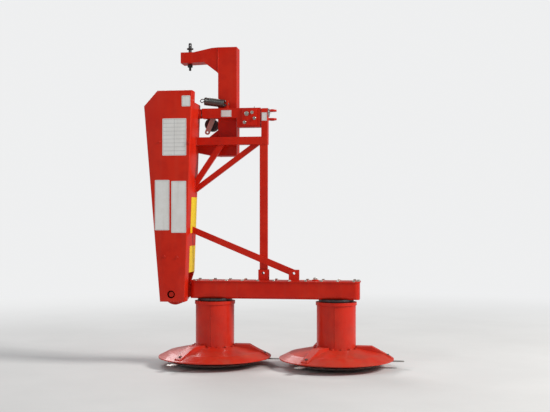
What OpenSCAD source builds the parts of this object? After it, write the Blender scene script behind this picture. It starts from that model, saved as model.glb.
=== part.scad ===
// Two-drum rotary mower for a three-point hitch, parked on its sliding saucers
// with the belt arm and the hitch frame folded upright.
// Modules are drawn from the inner drum's axis and placed() moves them so that
// the origin is under the middle of the whole machine, on the ground.
// The tractor would stand on the +Y side when the machine works.

/* [Drums] */
// Distance between the two drum axes
drum_pitch = 790; // [740:5:840]
// Radius of a cutting disc
disc_r = 365; // [350:1:375]
// Height of the disc's rim above the ground
rim_z = 60; // [56:1:66]
// Radius of a drum
drum_r = 125; // [110:1:135]
// Height of the drum's foot above the ground
drum_base_z = 124; // [118:1:130]
// How far the knife tips reach past the disc's rim
knife_reach = 65; // [50:1:67]
// Radius of a sliding saucer
saucer_r = 280; // [240:1:300]

/* [Beam] */
// Height of the beam's underside above the ground
beam_z = 434; // [420:1:450]
// Height of the beam with its lid
beam_h = 115; // [100:1:130]
// Depth of the beam along Y
beam_depth = 154; // [140:1:170]
// How far the beam reaches past each drum axis
beam_over = 150; // [140:1:165]

/* [Arm] */
// Fold axis to the left of the inner drum axis
fold_left = 250; // [245:1:260]
// Height of the fold axis
fold_z = 465; // [460:1:470]
// Lower edge of the belt cover
cover_z = 418; // [410:1:420]
// Height of the belt cover
cover_h = 1350; // [1320:5:1400]
// Width of the belt cover at its top
cover_top_w = 315; // [300:1:330]
// Width of the belt cover at its bottom
cover_foot_w = 160; // [150:1:170]
// Depth of the belt cover along Y
cover_depth = 82; // [75:1:85]
// Width of the box girder behind the belt cover
girder_w = 150; // [130:1:160]
// Depth of the box girder along Y
girder_depth = 168; // [150:1:172]

/* [Hitch] */
// Distance between the shoulders of the two lower hitch pins, category 1
pin_span = 683; // [683:1:683]
// How far the king pin of the hitch frame lies below the top of the belt cover
swing_drop = 127; // [118:1:138]
// Width of the cross beam along X
cross_w = 125; // [110:1:140]
// Depth of the cross beam along Y
cross_depth = 110; // [100:1:130]
// Reach of the hitch arms past the cross beam
hitch_reach = 255; // [240:1:270]
// Radius of a lower hitch pin, category 1
hitch_pin_r = 11; // [11:1:11]

/* [Hidden] */
$fn = 64;

red = [0.80, 0.12, 0.05];
steel = [0.62, 0.63, 0.65];
dark = [0.16, 0.16, 0.17];

// Gap left where one welded piece sits on a slanted face of another
seat = 0.2;
// Radial clearance of a shaft in its bore
run = 0.05;
// Clearance between pieces that move past each other
free = 6;

// Outline of the belt cover
foot_over = 87;
cover_lean = 47;
cover_foot_right = foot_over - fold_left;
cover_top_right = cover_foot_right + cover_lean;
cover_top_left = cover_top_right - cover_top_w;
cover_foot_left = cover_foot_right - cover_foot_w;
cover_top_z = cover_z + cover_h;
corner_w = 88;
corner_h = 98;
cover_front_y = -174;
cover_back_y = cover_front_y + cover_depth;
cover_wall = 3;
knife_tip_r = disc_r + knife_reach;
mid_x = (cover_top_left + drum_pitch + knife_tip_r) / 2;

// Beam and drum heights
lid_h = 8;
lid_lip = 5;
beam_wall = 8;
beam_edge = 16;
beam_end_r = 30;
beam_top = beam_z + beam_h;
collar_h = 12;
collar_r = drum_r - 13;
collar_room = 5;
drum_top = beam_z - collar_h - collar_room;
drum_wall = 6;
drum_cap = 16;
ring_r = drum_r + 6;
ring_h = 20;
spindle_r = 30;
spindle_foot = 16;
spindle_tail = 15;

// Disc profile
disc_t = 6;
flat_r = drum_r + 25;
knee_r = disc_r - 65;
shoulder_r = knee_r - 74;
shoulder_rise = 14;
shoulder_w = 68;
knee_rise = 32;
band_r = disc_r - 13;
hub_drop = 18;
knife_t = 4;
knife_top = rim_z - disc_t - free;
knife_w = 48;
knife_heel = 22;
knife_pin_r = disc_r - 40;
knife_angles = [0, 120, 240];
bolt_r = 10;
bolt_head_r = 17;
bolt_head_h = 7;
boss_r = 20;
boss_h = rim_z + 14 - knife_top;
pin_top = rim_z + 30;

// Saucer profile
saucer_flat_r = 150;
saucer_t = 5;
saucer_lift = 30;
hub_r = 66;
hub_top = 62;

// Arm
plate_t = 8;
girder_wall = 6;
girder_y = cover_back_y + plate_t;
girder_back = girder_y + girder_depth;
girder_z = 600;
girder_drop = 68;
girder_top = cover_top_z - girder_drop;
head_h = 160;
head_slope = 90;
head_z = girder_top - head_h;
inside_x = 50 - fold_left;
cheek_t = 12;
neck_r = 34;
neck_ring_r = 52;
rear_neck_r = 45;
case_r = 74;
case_half = 66;
neck_cap = 6;
joint_t = 6;
shaft_end_r = 17;
pto_x = (cover_top_left + cover_top_right) / 2;
pto_drop = 168;
pto_z = cover_top_z - pto_drop;
pto_r = 17.45;
pto_spline = 84;
pto_inside = 90;
pto_bearing_r = 22;
pto_flange_r = 76;
pto_flange_t = 12;
pto_body_r = 50;
pto_body = 60;
swing_z = cover_top_z - swing_drop;
king_r = 18;
lug_t = 40;
lug_r = 32;
lug_low_t = 15;
lug_lean = 4;
pin_bite = 13;
stay_x = 320;
stay_w = 50;
stay_t = 30;
stay_foot = beam_top + free + 3;
fork_drop = 210;
fork_z = swing_z - fork_drop;
fork_h = 50;
fork_depth = 60;
tube_wall = 5;
brace_drop = 382;
brace_run = 260;
tip_room = 5;
brace_w = 45;
brace_t = 22;
long_drop = 360;
long_run = stay_x - stay_w / 2 - tip_room - inside_x;
long_w = 59;
socket_h = 70;
socket_w = 64;
ear_t = 8;
base_t = 3;
lock_hole_z = 48;
lock_hole_r = 9;
strut_h = 42;
strut_t = 16;
strut_rise = 320;
strut_top_z = beam_top + strut_rise;
strut_end_x = 520;

// Hitch
box_half = 32;
box_drop = 94;
cross_room = 7;
cross_y = girder_back + cross_room;
king_y = cross_y - box_half;
fork_front = 64;
fork_y = king_y - fork_front;
stay_y = fork_y + stay_t / 2;
strut_y = fork_y - seat - strut_t / 2;
cross_wall = 8;
pin_shoulder = 8;
pin_free = 62;
nut_h = 20;
stub_r = 8;
stub_h = 22;
arm_tip = pin_span / 2 - pin_shoulder - seat;
arm_tip_h = 72;
arm_flat = 90;
arm_rise = 28;
arm_root_h = 171;
gusset_x = 98;
gusset_h = 95;
cross_half = arm_tip + arm_rise;
hitch_rise = 85;
hitch_z = swing_z + hitch_rise;
pin_inset = 52;
hitch_pin_x = pin_inset - hitch_reach;
hitch_pin_y = cross_y + cross_depth / 2;
mast_t = 11;
mast_gap = 46;
mast_x = 350;
mast_r = 30;
mast_inset = 20;
mast_heel = 30;
mast_strap = 40;
top_hole_r = 9.75;
spring_r = 27;
spring_w = 7;
spring_z = swing_z + box_half + spring_r + 6;
spring_len = 140;
spring_right = 52;
spring_tilt = 8;
hook_r = 5;
lug_x = 66;

module placed() {
    translate([-mid_x, 0, 0]) children();
}

// Cylinder from y0 to y1 along Y
module rod_y(r, y0, y1) {
    translate([0, y1, 0]) rotate([90, 0, 0]) cylinder(r = r, h = y1 - y0);
}

// Cylinder from x0 to x1 along X
module rod_x(r, x0, x1) {
    translate([x0, 0, 0]) rotate([0, 90, 0]) cylinder(r = r, h = x1 - x0);
}

// Plate with an outline in X and Z, from y0 to y1
module plate_xz(outline, y0, y1) {
    translate([0, y1, 0]) rotate([90, 0, 0]) linear_extrude(y1 - y0) polygon(outline);
}

// Rectangle from one corner to the other with round corners, flat in X and Y
module round_rect(x0, y0, x1, y1, r) {
    translate([x0 + r, y0]) square([x1 - x0 - 2 * r, y1 - y0]);
    translate([x0, y0 + r]) square([x1 - x0, y1 - y0 - 2 * r]);
    for (x = [x0 + r, x1 - r], y = [y0 + r, y1 - r]) translate([x, y]) circle(r);
}

// Beam body

// Beam's outline between two heights, grown by a margin
module beam_blank(z0, z1, grow) {
    translate([0, 0, z0]) linear_extrude(z1 - z0)
        round_rect(-beam_over - grow, -beam_depth / 2 - grow,
            drum_pitch + beam_over + grow, beam_depth / 2 + grow, beam_end_r + grow);
}

// Hollow housing of the cross shaft, with round lower edges and a bearing boss over each drum
module beam_housing() {
    bearing_r = 62;
    color(red) placed() difference() {
        intersection() {
            beam_blank(beam_z, beam_top - lid_h, 0);
            translate([-beam_over - 1, 0, 0]) rotate([90, 0, 90])
                linear_extrude(drum_pitch + 2 * beam_over + 2)
                round_rect(-beam_depth / 2, beam_z, beam_depth / 2, beam_top + beam_edge, beam_edge);
        }
        difference() {
            beam_blank(beam_z + beam_wall, beam_top, -beam_wall - 2);
            for (x = [0, drum_pitch]) translate([x, 0, beam_z]) cylinder(r = bearing_r, h = beam_h / 2);
        }
        for (x = [0, drum_pitch]) translate([x, 0, beam_z - 1])
            cylinder(r = spindle_r + 5, h = spindle_tail + 6);
    }
}

module beam_lid() {
    color(red) placed() beam_blank(beam_top - lid_h, beam_top, lid_lip);
}

// Angle drive at the foot of the arm, with a round neck at each end of the fold axis
module gear_case() {
    joint_x = -beam_over - joint_t;
    block_h = beam_h - 30;
    front = cover_back_y - free;
    color(red) placed() {
        difference() {
            union() {
                translate([-fold_left, 0, fold_z]) rod_y(case_r, -case_half, case_half);
                translate([-fold_left, -58, beam_z + 6]) cube([fold_left + joint_x, 116, block_h]);
            }
            beam_blank(beam_z, beam_top, lid_lip + seat);
        }
        translate([joint_x, -52, beam_z + 12]) cube([joint_t - seat, 104, block_h - 12]);
        translate([-fold_left, 0, fold_z]) {
            rod_y(neck_r, front, -case_half + 1);
            rod_y(neck_r + 4, front - neck_cap, front);
            rod_y(shaft_end_r, cover_front_y + 9, front - neck_cap);
            rod_y(rear_neck_r, case_half - 1, girder_back + free);
            rod_y(rear_neck_r + 8, girder_back + free, girder_back + free + neck_cap);
        }
    }
}

// Fixed bearing flange between the beam and a drum
module collar(x) {
    color(dark) placed() translate([x, 0, 0]) difference() {
        translate([0, 0, beam_z - collar_h]) cylinder(r = collar_r, h = collar_h);
        translate([0, 0, beam_z - collar_h - 1]) cylinder(r = spindle_r + run, h = collar_h + 2);
    }
}

module collar_inner() { collar(0); }
module collar_outer() { collar(drum_pitch); }

// Two ears on a base plate that a foot of the given thickness stands between
module socket(x, y, gap, hole_x) {
    half = gap / 2 + free;
    color(red) placed() translate([x, y, beam_top]) difference() {
        union() {
            for (side = [-half - ear_t, half])
                translate([-socket_w / 2, side, 0]) cube([socket_w, ear_t, socket_h]);
            translate([-socket_w / 2, -half - ear_t, 0]) cube([socket_w, 2 * (half + ear_t), base_t]);
        }
        translate([hole_x, 0, lock_hole_z]) rod_y(lock_hole_r, -half - ear_t - 1, half + ear_t + 1);
    }
}

module stay_socket() { socket(stay_x, stay_y, stay_t, 0); }
module strut_socket() { socket(strut_end_x, strut_y, strut_t, 0); }

// Drum bodies

module drum(x) {
    color(red) placed() translate([x, 0, 0]) rotate_extrude() polygon([
        [spindle_r + run, drum_top - drum_cap], [spindle_r + run, drum_top], [ring_r, drum_top],
        [ring_r, drum_top - ring_h], [drum_r, drum_top - ring_h], [drum_r, drum_base_z],
        [drum_r - drum_wall, drum_base_z], [drum_r - drum_wall, drum_top - drum_cap]]);
}

module spindle(x) {
    color(steel) placed() translate([x, 0, spindle_foot])
        cylinder(r = spindle_r, h = beam_z - spindle_foot + spindle_tail);
}

// Raised shoulder that stiffens a disc over one knife and narrows towards the rim
module disc_shoulder() {
    top = drum_base_z + shoulder_rise;
    root = drum_r + 4;
    end = band_r + 5;
    mid_t = disc_t / 2;
    intersection() {
        rotate([90, 0, 0]) linear_extrude(shoulder_w, center = true) polygon([
            [root, drum_base_z - mid_t], [root, top], [shoulder_r, top],
            [band_r - 4, rim_z + disc_t + 8], [end, rim_z + 1], [band_r - 2, rim_z + mid_t],
            [knee_r - 2, rim_z + knee_rise - mid_t], [flat_r - 1, drum_base_z - mid_t]]);
        linear_extrude(2 * drum_base_z) polygon([[root, -shoulder_w / 2], [end, -shoulder_w / 3],
            [end, shoulder_w / 3], [root, shoulder_w / 2]]);
    }
}

// Dished disc with a steeper outer band, and with a shoulder and a boss for each knife
module disc(x) {
    low = drum_base_z - disc_t;
    color(red) placed() translate([x, 0, 0]) difference() {
        union() {
            rotate_extrude($fn = 96) polygon([
                [spindle_r + run, low - hub_drop], [spindle_r + run, drum_base_z],
                [flat_r, drum_base_z], [knee_r, rim_z + knee_rise], [band_r, rim_z + disc_t],
                [disc_r, rim_z], [disc_r, rim_z - disc_t], [band_r - 2, rim_z],
                [knee_r - 3, rim_z + knee_rise - disc_t], [flat_r - 2, low], [hub_r + 4, low],
                [hub_r - 8, low - hub_drop]]);
            for (a = knife_angles) rotate(a) {
                translate([knife_pin_r, 0, knife_top + seat]) cylinder(r = boss_r, h = boss_h);
                disc_shoulder();
            }
        }
        for (a = knife_angles) rotate(a) translate([knife_pin_r, 0, knife_top - 1])
            cylinder(r = bolt_r + run, h = drum_base_z - knife_top);
    }
}

module knives(x) {
    r0 = knife_pin_r - knife_heel;
    half = knife_w / 2;
    color(steel) placed() translate([x, 0, knife_top - knife_t]) for (a = knife_angles) rotate(a)
        linear_extrude(knife_t) difference() {
            polygon([[r0, 8 - half], [r0 + 8, -half], [knife_tip_r - 6, -half], [knife_tip_r, 10 - half],
                [knife_tip_r, half - 10], [knife_tip_r - 6, half], [r0 + 8, half], [r0, half - 8]]);
            translate([knife_pin_r, 0]) circle(bolt_r + run);
        }
}

module knife_bolts(x) {
    head_z0 = knife_top - knife_t - bolt_head_h;
    color(dark) placed() translate([x, 0, 0]) for (a = knife_angles) rotate(a)
        translate([knife_pin_r, 0, head_z0]) {
            cylinder(r = bolt_r, h = pin_top - head_z0);
            cylinder(r = bolt_head_r, h = bolt_head_h - seat);
        }
}

module drum_inner() { drum(0); }
module spindle_inner() { spindle(0); }
module disc_inner() { disc(0); }
module knives_inner() { knives(0); }
module knife_bolts_inner() { knife_bolts(0); }
module drum_outer() { drum(drum_pitch); }
module spindle_outer() { spindle(drum_pitch); }
module disc_outer() { disc(drum_pitch); }
module knives_outer() { knives(drum_pitch); }
module knife_bolts_outer() { knife_bolts(drum_pitch); }

// Saucer that slides over the ground and turns freely on the spindle's foot
module saucer(x) {
    color(steel) placed() translate([x, 0, 0]) rotate_extrude($fn = 96) polygon([
        [0, 0], [saucer_flat_r, 0], [saucer_r - 40, saucer_lift - 18], [saucer_r, saucer_lift],
        [saucer_r - 4, saucer_lift + 4], [saucer_r - 44, saucer_lift - 18 + saucer_t],
        [saucer_flat_r, saucer_t], [hub_r + 12, saucer_t], [hub_r, hub_top],
        [spindle_r + run, hub_top], [spindle_r + run, spindle_foot - 3], [0, spindle_foot - 3]]);
}

module saucer_inner() { saucer(0); }
module saucer_outer() { saucer(drum_pitch); }

// Arm body

function cover_right(z) = cover_foot_right + (cover_top_right - cover_foot_right) * (z - cover_z) / cover_h;

// Outline of the belt cover seen from the front, drawn in by i
function cover_outline(i) = [
    [cover_foot_left + i, cover_z + i], [cover_foot_right - i, cover_z + i],
    [cover_top_right - i, cover_top_z - i], [cover_top_left + corner_w + i * 0.45, cover_top_z - i],
    [cover_top_left + i, cover_top_z - corner_h - i * 0.45]];

// Outline of the girder, which widens at its head to carry the drive input
function girder_outline(i) = [
    [cover_right(girder_z) - girder_w + i, girder_z + i], [cover_right(girder_z) - i, girder_z + i],
    [cover_right(girder_top) - i, girder_top - i], [pto_x - pto_flange_r + i, girder_top - i],
    [pto_x - pto_flange_r + i, head_z + i], [cover_right(head_z) - girder_w + i, head_z - head_slope]];

// Plate that the belt cover closes; its foot turns on the gear case's front neck
module back_plate() {
    color(red) placed() difference() {
        union() {
            plate_xz(cover_outline(0), cover_back_y, girder_y);
            translate([-fold_left, 0, fold_z]) rod_y(neck_ring_r - 8, girder_y - 1, -case_half - free);
        }
        translate([-fold_left, 0, fold_z]) rod_y(neck_r + run, cover_back_y - 1, 0);
        translate([pto_x, 0, pto_z]) rod_y(pto_bearing_r + 8, cover_back_y - 1, 0);
    }
}

// Welded box girder behind the back plate
module arm_girder() {
    color(red) placed() difference() {
        plate_xz(girder_outline(0), girder_y, girder_back);
        plate_xz(girder_outline(girder_wall), girder_y + girder_wall, girder_back - girder_wall);
        translate([pto_x, 0, pto_z]) rod_y(pto_bearing_r + 8, girder_y - 1, girder_back + 1);
    }
}

// Everything to the left of the girder's slanted right side, for cutting what is welded to it
module girder_side() {
    left = 2 * cover_top_left;
    top = cover_top_z + cover_h;
    plate_xz([[left, 0], [cover_right(0) + seat, 0], [cover_right(top) + seat, top], [left, top]],
        girder_y - 2 * girder_depth, girder_back + 2 * girder_depth);
}

// Rear half of the hinge: a plate under the girder with a ring on the rear neck
module rear_cheek() {
    left = cover_right(girder_z) - girder_w;
    right = cover_right(girder_z);
    color(red) placed() difference() {
        union() {
            translate([-fold_left, 0, fold_z]) rod_y(rear_neck_r + 26, girder_back - cheek_t, girder_back);
            plate_xz([[-fold_left - 62, fold_z + 34], [-fold_left + 62, fold_z + 34], [right, girder_z],
                [left, girder_z]], girder_back - cheek_t, girder_back);
        }
        translate([-fold_left, 0, fold_z]) rod_y(rear_neck_r + run, 0, girder_back + 1);
    }
}

// Folded cover over the belts, open towards the back plate
module belt_cover() {
    hole_r = 25;
    color(red) placed() difference() {
        plate_xz(cover_outline(0), cover_front_y, cover_back_y);
        plate_xz(cover_outline(cover_wall), cover_front_y + cover_wall, cover_back_y + 1);
        translate([-fold_left, 0, fold_z]) rod_y(hole_r, cover_front_y - 1, cover_front_y + cover_wall + 1);
    }
}

// Bearing housing of the drive input on the girder's head
module pto_housing() {
    color(red) placed() translate([pto_x, 0, pto_z]) difference() {
        union() {
            rod_y(pto_flange_r, girder_back, girder_back + pto_flange_t);
            rod_y(pto_body_r, girder_back + pto_flange_t - 1, girder_back + pto_flange_t + pto_body);
        }
        rod_y(pto_bearing_r + run, girder_back - 1, girder_back + pto_flange_t + pto_body + 1);
    }
}

// Drive input with a splined end towards the tractor
module pto_shaft() {
    face = girder_back + pto_flange_t + pto_body + 2;
    color(steel) placed() translate([pto_x, 0, pto_z]) {
        rod_y(pto_bearing_r, girder_back - pto_inside, face);
        rod_y(pto_r, face - 1, face + pto_spline);
    }
}

// Ear on the girder's side that holds the lower end of the king pin
module fork_lug_low() {
    face = cover_right(swing_z) + lug_low_t;
    color(red) placed() difference() {
        translate([0, king_y, swing_z]) rod_x(lug_r, face - lug_t, face + lug_lean);
        girder_side();
        translate([0, king_y, swing_z]) rod_x(king_r + run, face - pin_bite, face + lug_lean + 1);
    }
}

// Box section across in front of the cross beam, from the girder to the fork's far end
module fork_arm() {
    right = stay_x + stay_w / 2;
    color(red) placed() difference() {
        translate([inside_x, fork_y, fork_z]) cube([right - inside_x, fork_depth, fork_h]);
        translate([inside_x + tube_wall, fork_y + tube_wall, fork_z + tube_wall])
            cube([right - inside_x - 2 * tube_wall, fork_depth - 2 * tube_wall, fork_h - 2 * tube_wall]);
        girder_side();
    }
}

// Slanting bar up to the fork arm's underside, starting a length to the left of its upper end
module brace(y0, drop, length, w) {
    rise = drop / length;
    color(red) placed() difference() {
        plate_xz([[inside_x, fork_z - drop], [inside_x, fork_z - drop + w * rise],
            [inside_x + length - w, fork_z], [inside_x + length, fork_z]], y0, y0 + brace_t);
        girder_side();
    }
}

module fork_brace() { brace(fork_y + 6, brace_drop, brace_run, brace_w); }
module fork_brace_long() { brace(fork_y + 6 + brace_t + seat, long_drop, long_run, long_w); }

// Upright at the fork's far end that holds the upper end of the king pin
module fork_lug_high() {
    x0 = stay_x - lug_t / 2;
    color(red) placed() difference() {
        union() {
            translate([0, king_y, swing_z]) rod_x(lug_r, x0, x0 + lug_t);
            translate([x0, king_y - lug_r, fork_z + fork_h])
                cube([lug_t, 2 * lug_r, swing_z - fork_z - fork_h]);
        }
        translate([0, king_y, swing_z]) rod_x(king_r + run, x0 - 1, x0 + lug_t + 1);
    }
}

module king_pin() {
    end_x = stay_x + lug_t / 2;
    color(steel) placed() translate([0, king_y, swing_z]) {
        rod_x(king_r, cover_right(swing_z) + 3, end_x + 6);
        rod_x(king_r + 9, end_x + seat, end_x + 8);
    }
}

// Upright tube that stands on the beam and carries the folded arm
module stay_bar() {
    color(red) placed() translate([stay_x, stay_y, stay_foot]) difference() {
        translate([-stay_w / 2, -stay_t / 2, 0]) cube([stay_w, stay_t, fork_z - stay_foot]);
        translate([tube_wall - stay_w / 2, tube_wall - stay_t / 2, -1])
            cube([stay_w - 2 * tube_wall, stay_t - 2 * tube_wall, fork_z - stay_foot - tube_wall]);
        translate([0, 0, beam_top + lock_hole_z - stay_foot]) rod_y(lock_hole_r + 0.5, -stay_t, stay_t);
    }
}

// Long slanting bar from the girder past the stay to the beam's outer half
module strut() {
    eye_r = 24;
    eye_z = beam_top + lock_hole_z;
    y0 = strut_y - strut_t / 2;
    color(red) placed() difference() {
        union() {
            plate_xz([[inside_x, strut_top_z + 8], [inside_x, strut_top_z + 8 + strut_h],
                [strut_end_x + 8, eye_z + eye_r - 3], [strut_end_x - 8, eye_z - eye_r + 5]], y0, y0 + strut_t);
            translate([strut_end_x, 0, eye_z]) rod_y(eye_r, y0, y0 + strut_t);
        }
        translate([strut_end_x, 0, eye_z]) rod_y(lock_hole_r + 0.5, y0 - 1, y0 + strut_t + 1);
        girder_side();
    }
}

// Hitch body

// Square tube round the king pin, bushed at both ends, with a deeper box past the cross beam
module swing_box() {
    x0 = cover_right(swing_z) + lug_low_t + free + 4;
    x1 = stay_x - lug_t / 2 - free;
    deep_x = cross_w + 2 * cross_room;
    bush = 60;
    w = cross_wall;
    color(red) placed() translate([0, king_y, swing_z]) difference() {
        union() {
            translate([x0, -box_half, -box_half]) cube([x1 - x0, 2 * box_half, 2 * box_half]);
            translate([deep_x, -box_half, -box_drop]) cube([x1 - deep_x, 2 * box_half, box_drop]);
        }
        rod_x(king_r + run, x0 - 1, x1 + 1);
        rod_x(box_half - 6, x0 + bush, x1 - bush);
        translate([deep_x + w, w - box_half, w - box_drop])
            cube([x1 - deep_x - 2 * w, 2 * (box_half - w), box_drop - box_half - w]);
    }
}

// Closed box section that the hitch arms stand out from
module cross_beam() {
    w = cross_wall;
    color(red) placed() translate([0, cross_y, hitch_z - cross_half]) difference() {
        cube([cross_w, cross_depth, 2 * cross_half]);
        translate([w, w, w]) cube([cross_w - 2 * w, cross_depth - 2 * w, 2 * cross_half - 2 * w]);
    }
}

// Outline of a hitch arm with its gusset, drawn in by i; up is 1 for the left arm and -1 for the right
function hitch_outline(up, i) = [
    [-i, up * (cross_half - i)], [-arm_flat / 2, up * (cross_half - arm_rise / 9 - i)],
    [arm_flat - hitch_reach, up * (arm_tip - i)], [i - hitch_reach, up * (arm_tip - i)],
    [i - hitch_reach, up * (arm_tip - arm_tip_h + i)], [-gusset_x, up * (cross_half - gusset_h + i)],
    [-i, up * (cross_half - arm_root_h + i * 2.2)]];

// Arm that carries a lower hitch pin in a boss
module hitch_arm(up) {
    y1 = cross_y + cross_depth;
    wall = 8;
    color(red) placed() translate([0, 0, hitch_z]) difference() {
        plate_xz(hitch_outline(up, 0), cross_y, y1);
        difference() {
            plate_xz(hitch_outline(up, wall), cross_y + wall, y1 - wall);
            translate([hitch_pin_x, hitch_pin_y, up * (arm_tip - arm_tip_h / 2)])
                cylinder(r = hitch_pin_r + 12, h = 2 * arm_tip_h, center = true);
        }
        translate([hitch_pin_x, hitch_pin_y, up * (arm_tip - arm_tip_h / 2)])
            cylinder(r = hitch_pin_r + run, h = 2 * arm_tip_h, center = true);
    }
}

module hitch_arm_left() { hitch_arm(1); }
module hitch_arm_right() { hitch_arm(-1); }

// Hitch pin with a shoulder on the arm's outer side and a nut on its inner side
module hitch_pin(up) {
    face = arm_tip + seat;
    nut_z = arm_tip - arm_tip_h - 1;
    pin_h = nut_h + face + pin_shoulder + pin_free - nut_z;
    color(dark) placed() translate([hitch_pin_x, hitch_pin_y, hitch_z]) rotate([90 - up * 90, 0, 0]) {
        translate([0, 0, nut_z - nut_h]) cylinder(r = hitch_pin_r, h = pin_h);
        translate([0, 0, face]) cylinder(r = 2 * hitch_pin_r, h = pin_shoulder);
        translate([0, 0, nut_z - nut_h]) cylinder(r = hitch_pin_r + 7, h = nut_h, $fn = 6);
        translate([0, 0, nut_z - nut_h - stub_h]) cylinder(r = stub_r, h = stub_h + 1);
    }
}

module hitch_pin_left() { hitch_pin(1); }
module hitch_pin_right() { hitch_pin(-1); }

// Pair of plates that hold the top link
module mast_plates() {
    y1 = cross_y + cross_depth;
    hole_y = y1 - mast_inset;
    color(red) placed() for (z = [-mast_gap / 2 - mast_t, mast_gap / 2]) translate([0, 0, swing_z + z])
        linear_extrude(mast_t) difference() {
            union() {
                polygon([[cross_w, cross_y + 10], [cross_w, y1], [mast_heel, y1], [mast_heel, y1 + mast_strap],
                    [mast_x, hole_y + mast_r], [mast_x, hole_y - mast_r]]);
                translate([mast_x, hole_y]) circle(mast_r);
            }
            translate([mast_x, hole_y]) circle(top_hole_r);
        }
}

// Closed-coil spring of the breakaway latch, with a hook at its lower end
module latch_spring() {
    color(steel) placed() translate([spring_right, king_y, spring_z]) rotate([0, spring_tilt, 0]) {
        difference() {
            rod_x(spring_r, -spring_len, 0);
            rod_x(spring_r - spring_w, 8 - spring_len, -8);
        }
        rod_x(hook_r, -1, lug_x - spring_right + 12);
    }
}

module spring_lug() {
    color(red) placed() difference() {
        translate([lug_x, king_y - 12, swing_z + box_half]) cube([9, 24, 2 * spring_r]);
        translate([spring_right, king_y, spring_z]) rotate([0, spring_tilt, 0]) rod_x(hook_r + run, 1, 40);
    }
}

// Flat link with round ends that hangs behind the swing box
module latch_link() {
    link_t = 6;
    link_r = 17;
    top = [-30, swing_z - 20];
    low = [-72, swing_z - 118];
    turn = atan2(low[1] - top[1], low[0] - top[0]);
    reach = norm(low - top);
    color(steel) placed() translate([top[0], cross_y + link_t, top[1]]) rotate([90, 0, 0]) rotate(turn)
        linear_extrude(link_t) difference() {
            union() {
                circle(link_r);
                translate([reach, 0]) circle(link_r);
                translate([0, -link_r]) square([reach, 2 * link_r]);
            }
            translate([reach, 0]) circle(6);
        }
}

// Cup beside the cross beam that the drive shaft's free end hangs in
module hanger_cup() {
    cup_r = 42;
    y0 = cross_y + 18;
    z = swing_z - 66;
    color(dark) placed() {
        translate([-cup_r - 10, 0, z]) difference() {
            rod_y(cup_r, y0, y0 + 70);
            rod_y(cup_r - 6, y0 + 6, y0 + 71);
        }
        translate([-12, y0, z - 14]) cube([12, 40, 28]);
    }
}

beam_housing();
beam_lid();
gear_case();
collar_inner();
collar_outer();
stay_socket();
strut_socket();
drum_inner();
spindle_inner();
disc_inner();
knives_inner();
knife_bolts_inner();
drum_outer();
spindle_outer();
disc_outer();
knives_outer();
knife_bolts_outer();
saucer_inner();
saucer_outer();
back_plate();
arm_girder();
rear_cheek();
belt_cover();
pto_housing();
fork_lug_low();
fork_arm();
fork_brace();
fork_brace_long();
fork_lug_high();
king_pin();
stay_bar();
strut();
pto_shaft();
swing_box();
cross_beam();
hitch_arm_left();
hitch_arm_right();
mast_plates();
hitch_pin_left();
hitch_pin_right();
latch_spring();
spring_lug();
latch_link();
hanger_cup();
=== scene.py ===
"""Dresses a two-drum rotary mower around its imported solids.

The solids are in metres with the ground at Z = 0, the cutting beam along X
and the tractor's side at +Y. Each class below is one sub-assembly. Its sizes
are in millimetres, measured from the inner drum's axis and from the ground,
the way a workshop drawing gives them, and its places come from the boxes of
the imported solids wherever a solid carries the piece.
"""

import logging
from contextlib import contextmanager
from dataclasses import dataclass, field, replace
from enum import Enum
from functools import lru_cache
from math import ceil, cos, pi, radians, sin
from typing import Callable, Iterator, Sequence

import bmesh
import bpy
from mathutils import Matrix, Vector


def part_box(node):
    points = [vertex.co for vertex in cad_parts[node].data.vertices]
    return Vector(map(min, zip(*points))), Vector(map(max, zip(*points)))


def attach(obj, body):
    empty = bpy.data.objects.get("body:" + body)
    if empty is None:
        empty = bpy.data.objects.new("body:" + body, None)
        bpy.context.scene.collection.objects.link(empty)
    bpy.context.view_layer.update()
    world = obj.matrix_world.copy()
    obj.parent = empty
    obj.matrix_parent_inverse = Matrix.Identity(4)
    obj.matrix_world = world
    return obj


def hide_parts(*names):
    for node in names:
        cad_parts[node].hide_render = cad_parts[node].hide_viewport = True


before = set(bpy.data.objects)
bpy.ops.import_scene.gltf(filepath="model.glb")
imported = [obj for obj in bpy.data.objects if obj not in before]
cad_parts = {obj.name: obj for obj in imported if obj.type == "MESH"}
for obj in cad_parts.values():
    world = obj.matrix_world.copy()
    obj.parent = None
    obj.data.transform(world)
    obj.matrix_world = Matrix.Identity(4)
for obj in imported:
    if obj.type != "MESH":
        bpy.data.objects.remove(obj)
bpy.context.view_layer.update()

LOG = logging.getLogger("mower")
MM = 0.001
ALONG_X = Vector((1, 0, 0))
ALONG_Y = Vector((0, 1, 0))
ALONG_Z = Vector((0, 0, 1))

# Least part of a unit vector along a direction that it faces, and that it runs along.
FACING = 0.9
PARALLEL = 0.99
# Metres within which a point lies on a face, and within which two points are one.
ON_FACE = 1e-5
MERGED = 1e-6
# Millimetres that a small part sinks in, and the radius that stands for the axis itself.
SUNK = 0.2
CORE = 0.01
# Distance between the beads of a weld and their thickness, as shares of its width.
BEAD_PITCH = 0.5
BEAD_THICK = 0.8

Colour = tuple[float, float, float]
Range = tuple[float, float]
Spot = tuple[float, float]
Point = tuple[float, float, float]
Route = tuple[Point, Point]
Profile = Sequence[tuple[float, float]]
Test = Callable[[Vector, Vector], bool]
Piece = bpy.types.Object
Tree = bpy.types.NodeTree
Node = bpy.types.Node
Socket = bpy.types.NodeSocket
Feed = Socket | float | tuple


class Slot(Enum):
    """Material slots of the record, one of which each finish names."""

    PAINT = "red_paint"
    STEEL = "bare_steel"
    ZINC = "zinc"
    DARK = "dark_steel"


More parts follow.
